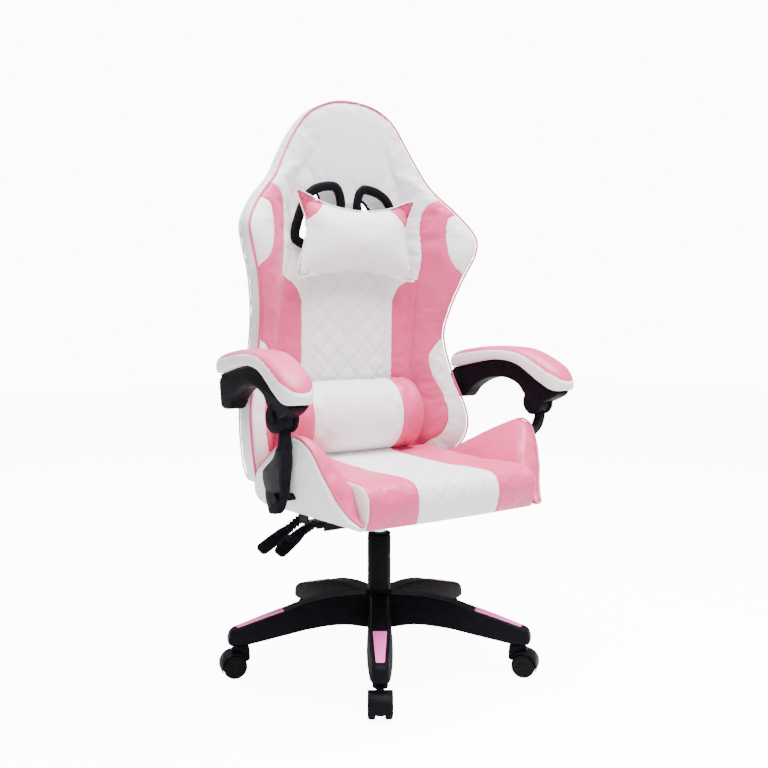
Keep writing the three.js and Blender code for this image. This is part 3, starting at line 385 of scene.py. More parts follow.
def grid_over(outline, step):
    """Points of a triangular grid over the box round an outline."""
    low, high = np.min(outline, axis=0), np.max(outline, axis=0)
    rows = np.arange(low[1] + step / 2, high[1], step * math.sqrt(3) / 2)
    return np.array([
        (x, y) for row, y in enumerate(rows)
        for x in np.arange(low[0] + row % 2 * step / 2, high[0], step)
    ])


def cut_panel(outline, seams, holes, step):
    """Fills an outline with triangles that have edges along every seam and hole.

    Returns the points, the triangles and which of the points lie on a border or a seam."""
    lines = [(outline, True)]
    lines += [(hole, True) for hole in holes]
    lines += [(trimmed_seam(seam, outline, step), False) for seam in seams]
    points, edges = linked(lines)
    grid = grid_over(outline, step)
    free = inside(grid, outline) & (nearest(kd_tree(points), grid) > 0.62 * step)
    for hole in holes:
        free &= ~inside(grid, hole)
    points += [tuple(point) for point in grid[free]]
    coords, found_edges, faces, _, edge_sources, _ = delaunay_2d_cdt(
        [Vector(point) for point in points], edges, [], 1, 1e-5)
    coords = np.array([tuple(co) for co in coords])
    faces = np.array([tuple(face) for face in faces])
    centres = coords[faces].mean(axis=1)
    keep = inside(centres, outline)
    for hole in holes:
        keep &= ~inside(centres, hole)
    fixed = np.zeros(len(coords), bool)
    for edge, source in zip(found_edges, edge_sources):
        if source:
            fixed[list(edge)] = True
    return coords, faces[keep], fixed


def quilting(x_half, low, high):
    """Diagonal lines both ways over the rectangle |x| <= x_half, low <= y <= high."""
    lines = []
    spacing = QUILT_PITCH * math.sqrt(2)
    middle = (low + high) / 2
    reach = x_half + (high - low) / 2
    count = int(reach / spacing) + 1
    for lean in (-1, 1):
        for k in range(-count, count + 1):
            offset = middle + (k + 0.5) * spacing
            ends = [(x, offset + lean * x) for x in np.linspace(-x_half, x_half, 400)]
            ends = [point for point in ends if low <= point[1] <= high]
            if len(ends) > 30:
                lines.append(np.array([ends[0], ends[-1]]))
    return lines


# ---- Leather shells -------------------------------------------------------------------------

class Shell:
    """A closed cover put together from panels that share the points of their borders."""

    def __init__(self):
        self.points = []
        self.faces = []
        self.slots = []
        self.pinned = []
        self.seams = []

    def add(self, points, faces, slots, pinned):
        first = len(self.points)
        self.points += [tuple(point) for point in points]
        self.faces += [tuple(int(first + corner) for corner in face) for face in faces]
        self.slots += list(slots)
        self.pinned += list(pinned)

    def panel(self, lift, outline, zone=None, seams=(), holes=(), step=LEATHER_STEP):
        """Adds a flat panel, lifted into space by a function of its 2D points."""
        coords, faces, fixed = cut_panel(outline, seams, holes, step)
        slots = zone(coords[faces].mean(axis=1)) if zone else np.zeros(len(faces), int)
        self.add(lift(coords), faces, slots, fixed)
        for seam in seams:
            line = even(seam, 2)
            line = line[inside(line, outline)]
            if len(line):
                self.seams.append(lift(line))
        for line in (outline, *holes):
            self.seams.append(lift(even(line, 2, closed=True)))

    def strip(self, first, second, rows, bulge=0.0):
        """Boxing between two loops that have the same number of points."""
        count = len(first)
        middle = (first.mean(axis=0) + second.mean(axis=0)) / 2
        rings = []
        for share in (row / rows for row in range(rows + 1)):
            ring = first + (second - first) * share
            rings.append(ring + unit(ring - middle) * bulge * 4 * share * (1 - share))
        faces = skin(rows + 1, count)
        pinned = [row in (0, rows) for row in range(rows + 1) for _ in range(count)]
        self.add(np.vstack(rings), faces, [0] * len(faces), pinned)

    def welded(self):
        """The points with doubles merged, the faces on them and the pinned points."""
        tree = kd_tree(self.points)
        owner = [min(index for _, index, _ in tree.find_range(point, 0.3)) for point in self.points]
        used = sorted(set(owner))
        number = {old: new for new, old in enumerate(used)}
        pins = {number[owner[i]] for i, pinned in enumerate(self.pinned) if pinned}
        faces, slots = [], []
        for face, slot in zip(self.faces, self.slots):
            corners = list(dict.fromkeys(number[owner[corner]] for corner in face))
            if len(corners) > 2:
                faces.append(corners)
                slots.append(int(slot))
        return [self.points[i] for i in used], faces, slots, sorted(pins)


def new_piece(name, points, faces, materials, slots=None, smooth=True):
    """A mesh object from points in millimetres, with its faces turned outward."""
    mesh = bpy.data.meshes.new(name)
    mesh.from_pydata([tuple(point) for point in placed(points)], [], [tuple(face) for face in faces])
    for material in materials:
        mesh.materials.append(material)
    if slots is not None:
        mesh.polygons.foreach_set("material_index", slots)
    piece = bpy.data.objects.new(name, mesh)
    bpy.context.scene.collection.objects.link(piece)
    body = bmesh.new()
    body.from_mesh(mesh)
    bmesh.ops.recalc_face_normals(body, faces=body.faces)
    body.to_mesh(mesh)
    body.free()
    mesh.polygons.foreach_set("use_smooth", [smooth] * len(mesh.polygons))
    return piece


def vertex_array(mesh, attribute="co"):
    values = np.empty(len(mesh.vertices) * 3)
    mesh.vertices.foreach_get(attribute, values)
    return values.reshape(-1, 3)


def set_vertices(mesh, coords):
    mesh.vertices.foreach_set("co", np.asarray(coords, float).ravel())
    mesh.update()


def applied(piece):
    """Applies every modifier of a piece."""
    bpy.context.view_layer.update()
    graph = bpy.context.evaluated_depsgraph_get()
    mesh = bpy.data.meshes.new_from_object(piece.evaluated_get(graph))
    piece.modifiers.clear()
    piece.data = mesh
    return piece


def subdivided(piece):
    modifier = piece.modifiers.new("subdivision", "SUBSURF")
    modifier.levels = modifier.render_levels = 1
    applied(piece)
    piece.data.polygons.foreach_set("use_smooth", [True] * len(piece.data.polygons))


def make_cloth(piece, pins, pressure, slack):
    """Turns a closed cover into inflated cloth that is held at its pinned points."""
    group = piece.vertex_groups.new(name="pins")
    group.add([int(pin) for pin in pins], 1.0, "REPLACE")
    modifier = piece.modifiers.new("cloth", "CLOTH")
    settings = modifier.settings
    settings.vertex_group_mass = group.name
    settings.use_pressure = True
    settings.uniform_pressure_force = pressure
    settings.tension_stiffness = settings.compression_stiffness = CLOTH_STIFFNESS
    settings.shear_stiffness = CLOTH_STIFFNESS / 2
    settings.bending_stiffness = CLOTH_BENDING
    settings.shrink_min = -slack
    settings.quality = 5
    settings.effector_weights.gravity = 0
    modifier.collision_settings.use_collision = False
    modifier.point_cache.frame_start = 1
    modifier.point_cache.frame_end = CLOTH_FRAMES


def inflated(piece, pins, pressure, cap, slack):
    """Blows a closed cover up with Blender's cloth, and caps how far it moves."""
    rest = vertex_array(piece.data)
    make_cloth(piece, pins, pressure, slack)
    scene = bpy.context.scene
    for number in range(1, CLOTH_FRAMES + 1):
        scene.frame_set(number)
    graph = bpy.context.evaluated_depsgraph_get()
    travel = vertex_array(piece.evaluated_get(graph).data) - rest
    piece.modifiers.clear()
    piece.vertex_groups.clear()
    scene.frame_set(1)
    length = np.linalg.norm(travel, axis=1)[:, None]
    limit = cap / 1000
    kept = limit * np.tanh(length / limit)
    set_vertices(piece.data, rest + travel * kept / np.maximum(length, 1e-9))


def upholstered(name, shell, materials, pressure=4.0, cap=6.0, slack=0.0, groove=1.2):
    """Turns a shell into a padded piece: welded, inflated, grooved at its seams and smoothed."""
    points, faces, slots, pins = shell.welded()
    piece = new_piece(name, points, faces, materials, slots)
    inflated(piece, pins, pressure, cap, slack)
    subdivided(piece)
    coords = vertex_array(piece.data)
    distance = nearest(kd_tree(placed(np.vstack(shell.seams))), coords) * 1000
    sink = groove * np.exp(-((distance / SEAM_WIDTH) ** 2))
    set_vertices(piece.data, coords - vertex_array(piece.data, "normal") * sink[:, None] / 1000)
    # The seam attribute is the mask for painted shade: near every seam the leather materials darken their colour,
    # standing in for the shade in the groove.
    attribute = piece.data.attributes.new("seam", "FLOAT", "POINT")
    attribute.data.foreach_set("value", np.exp(-((distance / SEAM_SHADE_REACH) ** 2)).astype(np.float32))
    return piece


def swept(path, section, closed=False):
    """Points and faces of a section, in 2D, carried along a path without twisting."""
    path = np.asarray(path, float)
    ahead = np.roll(path, -1, axis=0) - path
    if not closed:
        ahead[-1] = ahead[-2]
    behind = np.roll(ahead, 1, axis=0)
    if not closed:
        behind[0] = 0
    tangents = unit(ahead + behind)
    side = unit(np.cross(tangents[0], (0.1, 0.3, 1.0)))
    rings = []
    for point, tangent in zip(path, tangents):
        side = unit(side - tangent * np.dot(side, tangent))
        up = np.cross(tangent, side)
        rings.append([point + side * a + up * b for a, b in section])
    return loft(rings, closed)


def circle(radius, sides=8):
    turns = [2 * math.pi * i / sides for i in range(sides)]
    return [(radius * math.cos(turn), radius * math.sin(turn)) for turn in turns]


def piping(name, path, material, closed=False, radius=PIPING_RADIUS):
    points, faces = swept(even(path, 5, closed), circle(radius), closed)
    return new_piece(name, points, faces, [material])


def rides(piece, body, replaced=()):
    """Declares what a piece rides on and what it replaces."""
    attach(piece, body)
    if replaced:
        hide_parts(*replaced)


# ---- Materials ------------------------------------------------------------------------------

class Nodes:
    """A material's node tree, with short calls for the nodes used here."""

    def __init__(self, name):
        self.material = bpy.data.materials.new(name)
        self.material.use_nodes = True
        self.tree = self.material.node_tree
        self.shader = self.tree.nodes["Principled BSDF"]
        coordinates = self.tree.nodes.new("ShaderNodeTexCoord")
        self.where = coordinates.outputs["Object"]

    def node(self, kind, inputs=(), **settings):
        node = self.tree.nodes.new("ShaderNode" + kind)
        for key, value in settings.items():
            setattr(node, key, value)
        for key, value in dict(inputs).items():
            self.feed(node.inputs[key], value)
        return node

    def feed(self, socket, value):
        if isinstance(value, bpy.types.NodeSocket):
            self.tree.links.new(value, socket)
        else:
            socket.default_value = value

    def noise(self, scale, detail=3.0, stretch=None):
        where = self.where
        if stretch:
            where = self.node("Mapping", {"Vector": where, "Scale": stretch}).outputs["Vector"]
        inputs = {"Vector": where, "Scale": scale, "Detail": detail}
        return self.node("TexNoise", inputs).outputs["Fac"]

    def cells(self, scale):
        return self.node("TexVoronoi", {"Vector": self.where, "Scale": scale}).outputs["Distance"]

    def math(self, operation, a, b=0.0):
        return self.node("Math", {0: a, 1: b}, operation=operation).outputs[0]

    def spread(self, value, low, high, from_low=0.3, from_high=0.7):
        """Stretches a noise to a range."""
        inputs = {"Value": value, "From Min": from_low, "From Max": from_high, "To Min": low,
                  "To Max": high}
        return self.node("MapRange", inputs).outputs["Result"]

    def blend(self, share, a, b):
        mixer = self.node("Mix", data_type="RGBA")
        self.feed(mixer.inputs["Factor"], share)
        self.feed(mixer.inputs["A"], (*a, 1) if isinstance(a, tuple) else a)
        self.feed(mixer.inputs["B"], (*b, 1) if isinstance(b, tuple) else b)
        return mixer.outputs["Result"]

    def bump(self, height, distance, strength=1.0, under=None):
        inputs = {"Height": height, "Distance": distance, "Strength": strength}
        if under is not None:
            inputs["Normal"] = under
        return self.node("Bump", inputs).outputs["Normal"]

    def set(self, **values):
        names = {"color": "Base Color", "roughness": "Roughness", "metallic": "Metallic",
                 "normal": "Normal", "specular": "Specular IOR Level", "sheen": "Sheen Weight",
                 "emission": "Emission Color", "glow": "Emission Strength"}
        for key, value in values.items():
            if isinstance(value, tuple):
                value = (*value, 1)
            self.feed(self.shader.inputs[names[key]], value)
        return self.material


def leather(name, color, dark):
    """Smooth imitation leather: fine pebbled grain, soft creases, painted shade along the seams, worn gloss."""
    n = Nodes(name)
    patches = n.spread(n.noise(9.0, 2.0), 0.0, 0.35)
    tone = n.blend(patches, color, dark)
    # Painted shade: along the seams the colour is darkened towards the dark tone, standing in for the shade in
    # their grooves; the seams are also made rougher.
    seam = n.node("Attribute", attribute_name="seam").outputs["Fac"]
    tone = n.blend(n.math("MULTIPLY", seam, 0.55), tone, dark)
    grain = n.math("MULTIPLY", n.cells(950.0), 0.6)
    pores = n.math("ADD", grain, n.math("MULTIPLY", n.noise(420.0, 2.0), 0.4))
    creases = n.noise(24.0, 4.0, stretch=(1.0, 1.0, 2.4))
    soft = n.bump(creases, 0.004, 0.16)
    fine = n.bump(pores, 0.0006, 0.22, under=soft)
    rough = n.math("ADD", n.spread(n.noise(60.0, 4.0), 0.36, 0.5), n.math("MULTIPLY", seam, 0.15))
    return n.set(color=tone, roughness=rough, normal=fine, specular=0.45, sheen=0.08)


def moulded(name, color, roughness, texture=900.0, depth=0.0002, specular=0.4):
    """Moulded plastic with a spark-eroded texture and a little handling gloss."""
    n = Nodes(name)
    worn = n.spread(n.noise(30.0, 4.0), 0.0, 1.0)
    tone = n.blend(worn, tuple(c * 0.92 for c in color), tuple(min(1, c * 1.08) for c in color))
    rough = n.spread(n.noise(60.0, 5.0), roughness - 0.03, roughness + 0.03)
    relief = n.bump(n.noise(texture, 3.0), depth, 0.5)
    return n.set(color=tone, roughness=rough, normal=relief, specular=specular)


def metal(name, color, roughness, brushed=1.0):
    """Metal with faint machining lines and small changes of gloss."""
    n = Nodes(name)
    lines = n.noise(500.0, 2.0, stretch=(1.0, 1.0, 0.06 if brushed else 1.0))
    tone = n.blend(n.spread(n.noise(20.0), 0.0, 1.0), color, tuple(c * 0.85 for c in color))
    rough = n.spread(lines, roughness * 0.8, roughness * 1.25)
    return n.set(color=tone, roughness=rough, metallic=1.0, normal=n.bump(lines, 0.00005, 0.3 * brushed))


def powder_coat(name, color):
    """Sprayed and baked coat of paint with a fine orange peel."""
    n = Nodes(name)
    peel = n.noise(260.0, 2.0)
    tone = n.blend(n.spread(n.noise(30.0), 0.0, 1.0), color, tuple(c * 1.4 for c in color))
    return n.set(color=tone, roughness=n.spread(n.noise(50.0), 0.32, 0.45), specular=0.05,
                 normal=n.bump(peel, 0.0003, 0.4))


def rubber(name, color):
    """Dull rubber with a trace of dust."""
    n = Nodes(name)
    dust = n.spread(n.noise(40.0, 5.0), 0.0, 0.6)
    tone = n.blend(dust, color, tuple(c * 1.8 for c in color))
    return n.set(color=tone, roughness=n.spread(n.noise(80.0), 0.6, 0.8), specular=0.08,
                 normal=n.bump(n.noise(700.0), 0.0002, 0.4))


def webbing(name, color):
    """Woven elastic band: ribs across and fine threads along."""
    n = Nodes(name)
    ribs = n.node("TexWave", {"Vector": n.where, "Scale": 160.0}, bands_direction="Z").outputs["Fac"]
    threads = n.node("TexWave", {"Vector": n.where, "Scale": 240.0}, bands_direction="X").outputs["Fac"]
    weave = n.math("MULTIPLY", ribs, threads)
    tone = n.blend(weave, tuple(c * 0.6 for c in color), tuple(c * 1.6 for c in color))
    return n.set(color=tone, roughness=n.spread(weave, 0.9, 0.7, 0.0, 1.0), sheen=0.3,
                 normal=n.bump(weave, 0.0005, 0.7))


def plywood(name, color, dark):
    """Bent plywood: plies at the edge and long fibres along the board."""
    n = Nodes(name)
    plies = n.node("TexWave", {"Vector": n.where, "Scale": 110.0, "Distortion": 1.5},
                   bands_direction="Z").outputs["Fac"]
    fibre = n.noise(30.0, 6.0, stretch=(1.0, 14.0, 14.0))
    tone = n.blend(n.math("MULTIPLY", plies, fibre), color, dark)
    return n.set(color=tone, roughness=n.spread(fibre, 0.6, 0.8), normal=n.bump(fibre, 0.0004, 0.5))


WHITE = leather("white_leather", (0.80, 0.785, 0.785), (0.66, 0.62, 0.63))
PINK = leather("pink_leather", (0.64, 0.050, 0.175), (0.44, 0.025, 0.10))
BLACK = moulded("black_nylon", (0.0048, 0.0040, 0.0062), 0.45, specular=0.03)
TREAD = moulded("wheel_nylon", (0.0028, 0.0026, 0.0035), 0.36, texture=500.0, specular=0.07)
TRIM = moulded("pink_trim", (0.88, 0.13, 0.50), 0.22, texture=300.0, depth=0.00005)
STEEL = powder_coat("black_powder_coat", (0.003, 0.003, 0.0035))
ZINC = metal("zinc_plate", (0.42, 0.42, 0.40), 0.36)
CHROME = metal("hard_chrome", (0.74, 0.75, 0.77), 0.10, brushed=0.4)
RUBBER = rubber("boot_rubber", (0.003, 0.003, 0.003))
WEB = webbing("black_elastic", (0.02, 0.02, 0.022))
WOOD = plywood("bent_plywood", (0.52, 0.33, 0.17), (0.30, 0.17, 0.08))


# ---- Backrest -------------------------------------------------------------------------------

BACK_FINE = spline(BACK_ROWS)
BACK_BOTTOM = BACK_ROWS[0][0]


def back_values(z):
    """Half width, wing start, edge y, face y, thickness and rim at heights."""
    return [np.interp(z, BACK_FINE[:, 0], BACK_FINE[:, column]) for column in range(1, 7)]


def back_front(points):
    x, z = points[:, 0], points[:, 1]
    half, fold, edge, face, _, _ = back_values(z)
    along = np.clip((np.abs(x) - fold) / np.maximum(half - fold, 1), 0, 1)
    y = face + np.sin(np.pi / 2 * along) ** WING_POWER * (edge - face)
    return np.column_stack([x, y, z])


def back_rear(points):
    x, z = points[:, 0], points[:, 1]
    half, _, edge, face, thick, rim = back_values(z)
    across = np.clip(np.abs(x) / half, 0, 1)
    middle = face + thick
    return np.column_stack([x, middle + across**REAR_POWER * (edge + rim - middle), z])


def back_outline():
    """The backrest's outline in x and z, seen from the front, as its kept sides."""
    side = [(row[1], row[0]) for row in BACK_ROWS]
    crown = spline(side + mirror(side[::-1]))
    notch_x, notch_top = NOTCH
    corner = side[0][0]
    return [
        crown,
        [(-corner, BACK_BOTTOM), (-notch_x, BACK_BOTTOM)],
        [(-notch_x, BACK_BOTTOM), (-notch_x, notch_top)],
        [(-notch_x, notch_top), (notch_x, notch_top)],
        [(notch_x, notch_top), (notch_x, BACK_BOTTOM)],
        [(notch_x, BACK_BOTTOM), (corner, BACK_BOTTOM)],
    ]


def hole_line(side, grow, count=None):
    """The bezel's outline round a harness hole, grown or shrunk, as an even closed line."""
    line = spline(HARNESS_HOLE, closed=True, fine=10)
    line = line + outward(line) * grow
    step = arc_lengths(np.vstack([line, line[:1]]))[-1] / count if count else 6
    line = even(line, step, closed=True)
    return line if side > 0 else line * (-1, 1)


def wing_zone():
    """Closed outlines of the right half's pink wing and of the white patches on it."""
    far = 400
    inner = np.vstack([spline(WING_INNER), spline(LOBE_EDGE)[1:]])
    wing = np.vstack([inner, [(LOBE_EDGE[-1][0], 300), (far, 300), (far, WING_INNER[0][1])]])
    upper = np.vstack([spline(UPPER_PATCH), [(far, UPPER_PATCH[-1][1]), (far, UPPER_PATCH[0][1])]])
    lower = np.vstack([spline(LOWER_PATCH), [(LOWER_PATCH[-1][0], 300), (far, 300),
                                             (far, LOWER_PATCH[0][1])]])
    return wing, upper, lower


def back_zone(centres):
    wing, upper, lower = wing_zone()
    mirrored = np.column_stack([np.abs(centres[:, 0]), centres[:, 1]])
    return (inside(mirrored, wing) & ~inside(mirrored, upper) & ~inside(mirrored, lower)).astype(int)


def back_seams():
    seams = []
    for line in (WING_INNER, LOBE_EDGE, FOLD_SEAM, UPPER_PATCH, LOWER_PATCH):
        seams += both_sides(spline(line))
    seams += both_sides([(QUILT_HALF, NOTCH[1]), (QUILT_HALF, QUILT_TOP)])
    seams += both_sides(SHOULDER_SEAM)
    seams.append(np.array([(-QUILT_HALF, QUILT_TOP), (QUILT_HALF, QUILT_TOP)]))
    seams += quilting(QUILT_HALF - 1, NOTCH[1] + 2, QUILT_TOP - 2)
    return seams


def make_backrest():
    outline = loop_of(back_outline())
    holes = [hole_line(side, HOLE_WALL) for _, side in SIDES]
    cover = Shell()
    cover.panel(back_front, outline, back_zone, back_seams(), holes)
    rear_seams = [np.array([(-half, z), (half, z)]) for half, z in REAR_CROSS_SEAMS]
    rear_seams += both_sides(spline(REAR_SIDE_SEAM))
    cover.panel(back_rear, outline, None, rear_seams, holes, step=12)
    cover.strip(back_front(outline), back_rear(outline), rows=5, bulge=3)
    for hole in holes:
        cover.strip(back_front(hole), back_rear(hole), rows=6)
    piece = upholstered("back_cover", cover, [WHITE, PINK], pressure=5.0, cap=7.0, slack=0.015)
    rides(piece, "back", ["back_cushion", "back_panel"])
    edge = even(back_outline()[0], 6)
    front, rear = back_front(edge), back_rear(edge)
    trim = piping("back_piping", front + outward_of(front) * 1.5, PINK)
    rides(trim, "back")
    rear_trim = piping("back_rear_piping", rear + outward_of(rear) * 1.0, WHITE, radius=1.8)
    rides(rear_trim, "back")


def outward_of(line):
    """Directions in x and z that lead away from the middle of an edge line."""
    ahead = np.gradient(line, axis=0)
    out = unit(np.column_stack([ahead[:, 2], np.zeros(len(line)), -ahead[:, 0]]))
    return out * np.sign((out * (line - line.mean(axis=0))).sum())


def make_bezels():
    """Moulded rings of the harness holes: a broad rounded lip in front and another at the rear."""
    face = box_of("hole_bezel_right")[0, 1]
    for name, side in SIDES:
        lips = []
        for profile in (BEZEL_FRONT, BEZEL_REAR):
            lines = [(hole_line(side, grow, count=BEZEL_SIDES), face + depth) for grow, depth in profile]
            lips.append(loft([stood(line, y) for line, y in lines], closed=True))
        bezel = new_piece(f"harness_bezel_{name}", *merged(lips), [BLACK])
        rides(bezel, "back", [f"hole_bezel_{name}"])


# ---- Pillows --------------------------------------------------------------------------------

def edge_distance(points, outline):
    return nearest(kd_tree(even(outline, 1.5, closed=True)), points)


def soft_depth(points, outline, blur=16.0, step=4):
    """Distance from an outline, without the creases where the nearest side changes."""
    border = even(outline, step, closed=True)
    far = np.linalg.norm(points[:, None] - border[None], axis=2)
    near = -blur * np.log(np.exp(-far / blur).sum(axis=1) * step / (2 * blur))
    return np.maximum(near, 0)


def ear_zone(centres):
    """Marks the pink ears of the head pillow."""
    x, z = np.abs(centres[:, 0]), centres[:, 1]
    seam_x, seam_z = np.array(EAR_SEAM, float).T
    return ((z > np.interp(x, seam_x, seam_z)) & (x > seam_x[0]) & (z > seam_z[2] - 22)).astype(int)


def make_head_pillow():
    half = np.array(PILLOW_OUTLINE, float)
    outline = loop_of([spline(half), spline(mirror(half[::-1]))], PILLOW_STEP)

    def swollen(points, depth, reach):
        swell = 1 - np.exp(-soft_depth(points, outline) / reach)
        return stood(points, PILLOW_SEAM_Y) + np.outer(swell, (0, depth, 0))

    def front(points):
        return swollen(points, PILLOW_FRONT - PILLOW_SEAM_Y, 20)

    def rear(points):
        return swollen(points, 18, 14)

    ears = both_sides(spline(EAR_SEAM))
    cover = Shell()
    cover.panel(front, outline, ear_zone, ears, step=PILLOW_STEP)
    cover.panel(rear, outline, ear_zone, ears, step=PILLOW_STEP)
    piece = upholstered("head_pillow_cover", cover, [WHITE, PINK], pressure=3.0, cap=4.0, slack=0.004,
                        groove=0.8)
    flatten_rear(piece, PILLOW_REAR)
    rides(piece, "back", ["head_pillow"])
    seam = piping("head_pillow_seam", front(even(outline, 4, closed=True)), WHITE, True, radius=1.3)
    rides(seam, "back")


def flatten_rear(piece, rear):
    """Presses a pillow flat where it rests against the backrest."""
    coords = vertex_array(piece.data)
    limit = (rear + AXIS_Y) / 1000
    coords[:, 1] -= 0.96 * np.maximum(coords[:, 1] - limit, 0)
    set_vertices(piece.data, coords)


def lumbar_ring(x, share):
    """Section of the lumbar pillow, gathered in small puckers near its end seams."""
    centre_y, centre_z = LUMBAR_CENTRE
    turns = np.linspace(0, 2 * np.pi, LUMBAR_SIDES, endpoint=False)
    gather = 0.014 * math.exp(-((abs(x) - LUMBAR_HALF) / 9) ** 2)
    radius = LUMBAR_RADIUS * share * (1 + gather * np.cos(LUMBAR_PUCKERS * turns))
    y = np.minimum(centre_y + radius * np.sin(turns), LUMBAR_REAR - 2)
    z = centre_z + LUMBAR_TALL * radius * np.cos(turns)
    return np.column_stack([np.full(LUMBAR_SIDES, x + LUMBAR_SHIFT), y, z])


def make_lumbar_pillow():
    """A round bolster that rests against the backrest, with pink ends."""
    half = [(x, 1.0) for x in np.arange(0, LUMBAR_HALF - 12, 7.8)]
    half += [(LUMBAR_HALF + beyond, share) for beyond, share in LUMBAR_ENDS]
    stations = mirror(half[:0:-1]) + half
    rings = [lumbar_ring(x, share) for x, share in stations]
    count, around = len(rings), LUMBAR_SIDES
    faces = skin(count, around)
    middles = [abs(a[0] + b[0]) / 2 for a, b in zip(stations, stations[1:])]
    slots = [int(middle > LUMBAR_WHITE) for middle in middles for _ in range(around)]
    tip_y, tip_z = LUMBAR_CENTRE[0] - 30, LUMBAR_CENTRE[1]
    tips = [(x + LUMBAR_SHIFT, tip_y, tip_z) for x, _ in (stations[0], stations[-1])]
    for tip, ring in ((count * around, 0), (count * around + 1, count - 1)):
        faces += [(tip, ring * around + i, ring * around + (i + 1) % around) for i in range(around)]
        slots += [1] * around
    seam_rows = [
        row for row, (x, share) in enumerate(stations)
        if abs(abs(x) - LUMBAR_WHITE) < 4 or (share == 1.0 and abs(x) > LUMBAR_HALF - 12)
    ]
    pinned = [row in seam_rows for row in range(count) for _ in range(around)] + [True, True]
    cover = Shell()
    cover.add(np.vstack([*rings, tips]), faces, slots, pinned)
    cover.seams = [even(rings[row], 2, closed=True) for row in seam_rows]
    piece = upholstered("lumbar_cover", cover, [WHITE, PINK], pressure=3.0, cap=5.0, slack=0.02,
                        groove=1.6)
    flatten_rear(piece, LUMBAR_REAR)
    rides(piece, "back", ["lumbar_pillow"])


# ---- Seat -----------------------------------------------------------------------------------

SEAT_LINE = spline(SEAT_PROFILE, fine=16)
SEAT_RUN = arc_lengths(SEAT_LINE)
SEAT_LENGTH = SEAT_RUN[-1]


def seat_surface(points):
    """Lifts x and the distance along the profile onto the seat cushion."""
    x, run = points[:, 0], np.clip(points[:, 1], 0, SEAT_LENGTH)
    y = np.interp(run, SEAT_RUN, SEAT_LINE[:, 0])
    z = np.interp(run, SEAT_RUN, SEAT_LINE[:, 1])
    nose = SEAT_NOSE * (1 - (x / SEAT_HALF) ** 2) * np.clip((-y - 150) / 80, 0, 1)
    return np.column_stack([x, y - nose, z])


def seat_side(edge):
    """Outline of the cushion's side in y and z, closed along the floor, and the floor's points."""
    profile = edge[:, 1:]
    floor = even([profile[-1], profile[0]], LEATHER_STEP)[1:-1]
    return np.vstack([profile, floor]), floor[:, 0]


def make_seat_cushion():
    half, run = SEAT_HALF, SEAT_LENGTH
    corners = [(half, 0), (half, run), (-half, run), (-half, 0)]
    outline = polygon(corners)
    white_line = spline([(SEAT_WHITE_FRONT, 0), (SEAT_WHITE_FRONT + 2, 70), (SEAT_WHITE_FRONT - 3, 180),
                         (SEAT_WHITE_REAR, run)])
    seams = both_sides(white_line) + quilting(SEAT_WHITE_REAR - 4, 6, run - 60)

    def zone(centres):
        edge = np.interp(centres[:, 1], white_line[:, 1], white_line[:, 0])
        return (np.abs(centres[:, 0]) > edge).astype(int)

    def edge_line(first, last):
        return seat_surface(even([corners[first], corners[last]], LEATHER_STEP))

    cover = Shell()
    cover.panel(seat_surface, outline, zone, seams)
    side_outline, floor_y = seat_side(edge_line(0, 1))
    for side in (-1, 1):
        cover.panel(lambda line, x=side * half: sideways(line, x), side_outline)
    under = np.vstack([
        edge_line(0, 3)[:, :2], [(-half, y) for y in floor_y[::-1]],
        edge_line(1, 2)[::-1, :2], [(half, y) for y in floor_y],
    ])
    cover.panel(lambda line: level(line, SEAT_FLOOR), under, step=14)
    piece = upholstered("seat_cover", cover, [WHITE, PINK], pressure=5.0, cap=6.0, slack=0.01)
    keep_above(piece, SEAT_FLOOR)
    rides(piece, "seat", ["seat_cushion"])


def make_board():
    """Bent plywood board under the seat, set in from the covers."""
    low, high = box_of("seat_board")
    x = high[0] - BOARD_INSET
    outline = polygon(rectangle(-x, x, low[1] + BOARD_INSET, high[1] - BOARD_INSET), 30)
    board = slab(outline, [(SEAT_FLOOR - 2, 0), (high[2], 0)], level)
    rides(moulding("seat_plywood", [board], WOOD, 0.8), "seat", ["seat_board"])


def keep_above(piece, floor):
    """Presses a cushion flat where it lies on the seat board."""
    coords = vertex_array(piece.data)
    coords[:, 2] = np.maximum(coords[:, 2], floor / 1000)
    set_vertices(piece.data, coords)


def bolster_section(top):
    """Section in x and z of a seat bolster whose crest is at a height, from the crest outward."""
    inner_x, low, foot_x = BOLSTER_INNER, BOLSTER_FLOOR, BOLSTER_INNER + BOLSTER_FOOT
    height = top - low
    outer_x = np.interp(top, *BOLSTER_SPREAD)
    crease = min(BOLSTER_CREASE, low + 0.6 * height)
    inner_top = inner_x + 0.6 * max(0, top - 6 - BOLSTER_CREASE)
    roll = min(8.0, 0.3 * height)
    crest_x = max(outer_x - 9, inner_top + 5)
    outer = spline([(crest_x, top), (outer_x - 1, top - 0.6 * roll),
                    (outer_x - 0.22 * height, top - 0.5 * height), (foot_x, low)])
    under = even([(foot_x, low), (inner_x, low)], 4)
    inner = spline([(inner_x, low), (inner_x, crease), (inner_top, top - roll),
                    (0.5 * (inner_top + crest_x), top - 0.5), (crest_x, top)])
    outer_count, inner_count = BOLSTER_POINTS
    return np.vstack([resampled(outer, outer_count), under[1:-1], resampled(inner, inner_count)[:-1]])


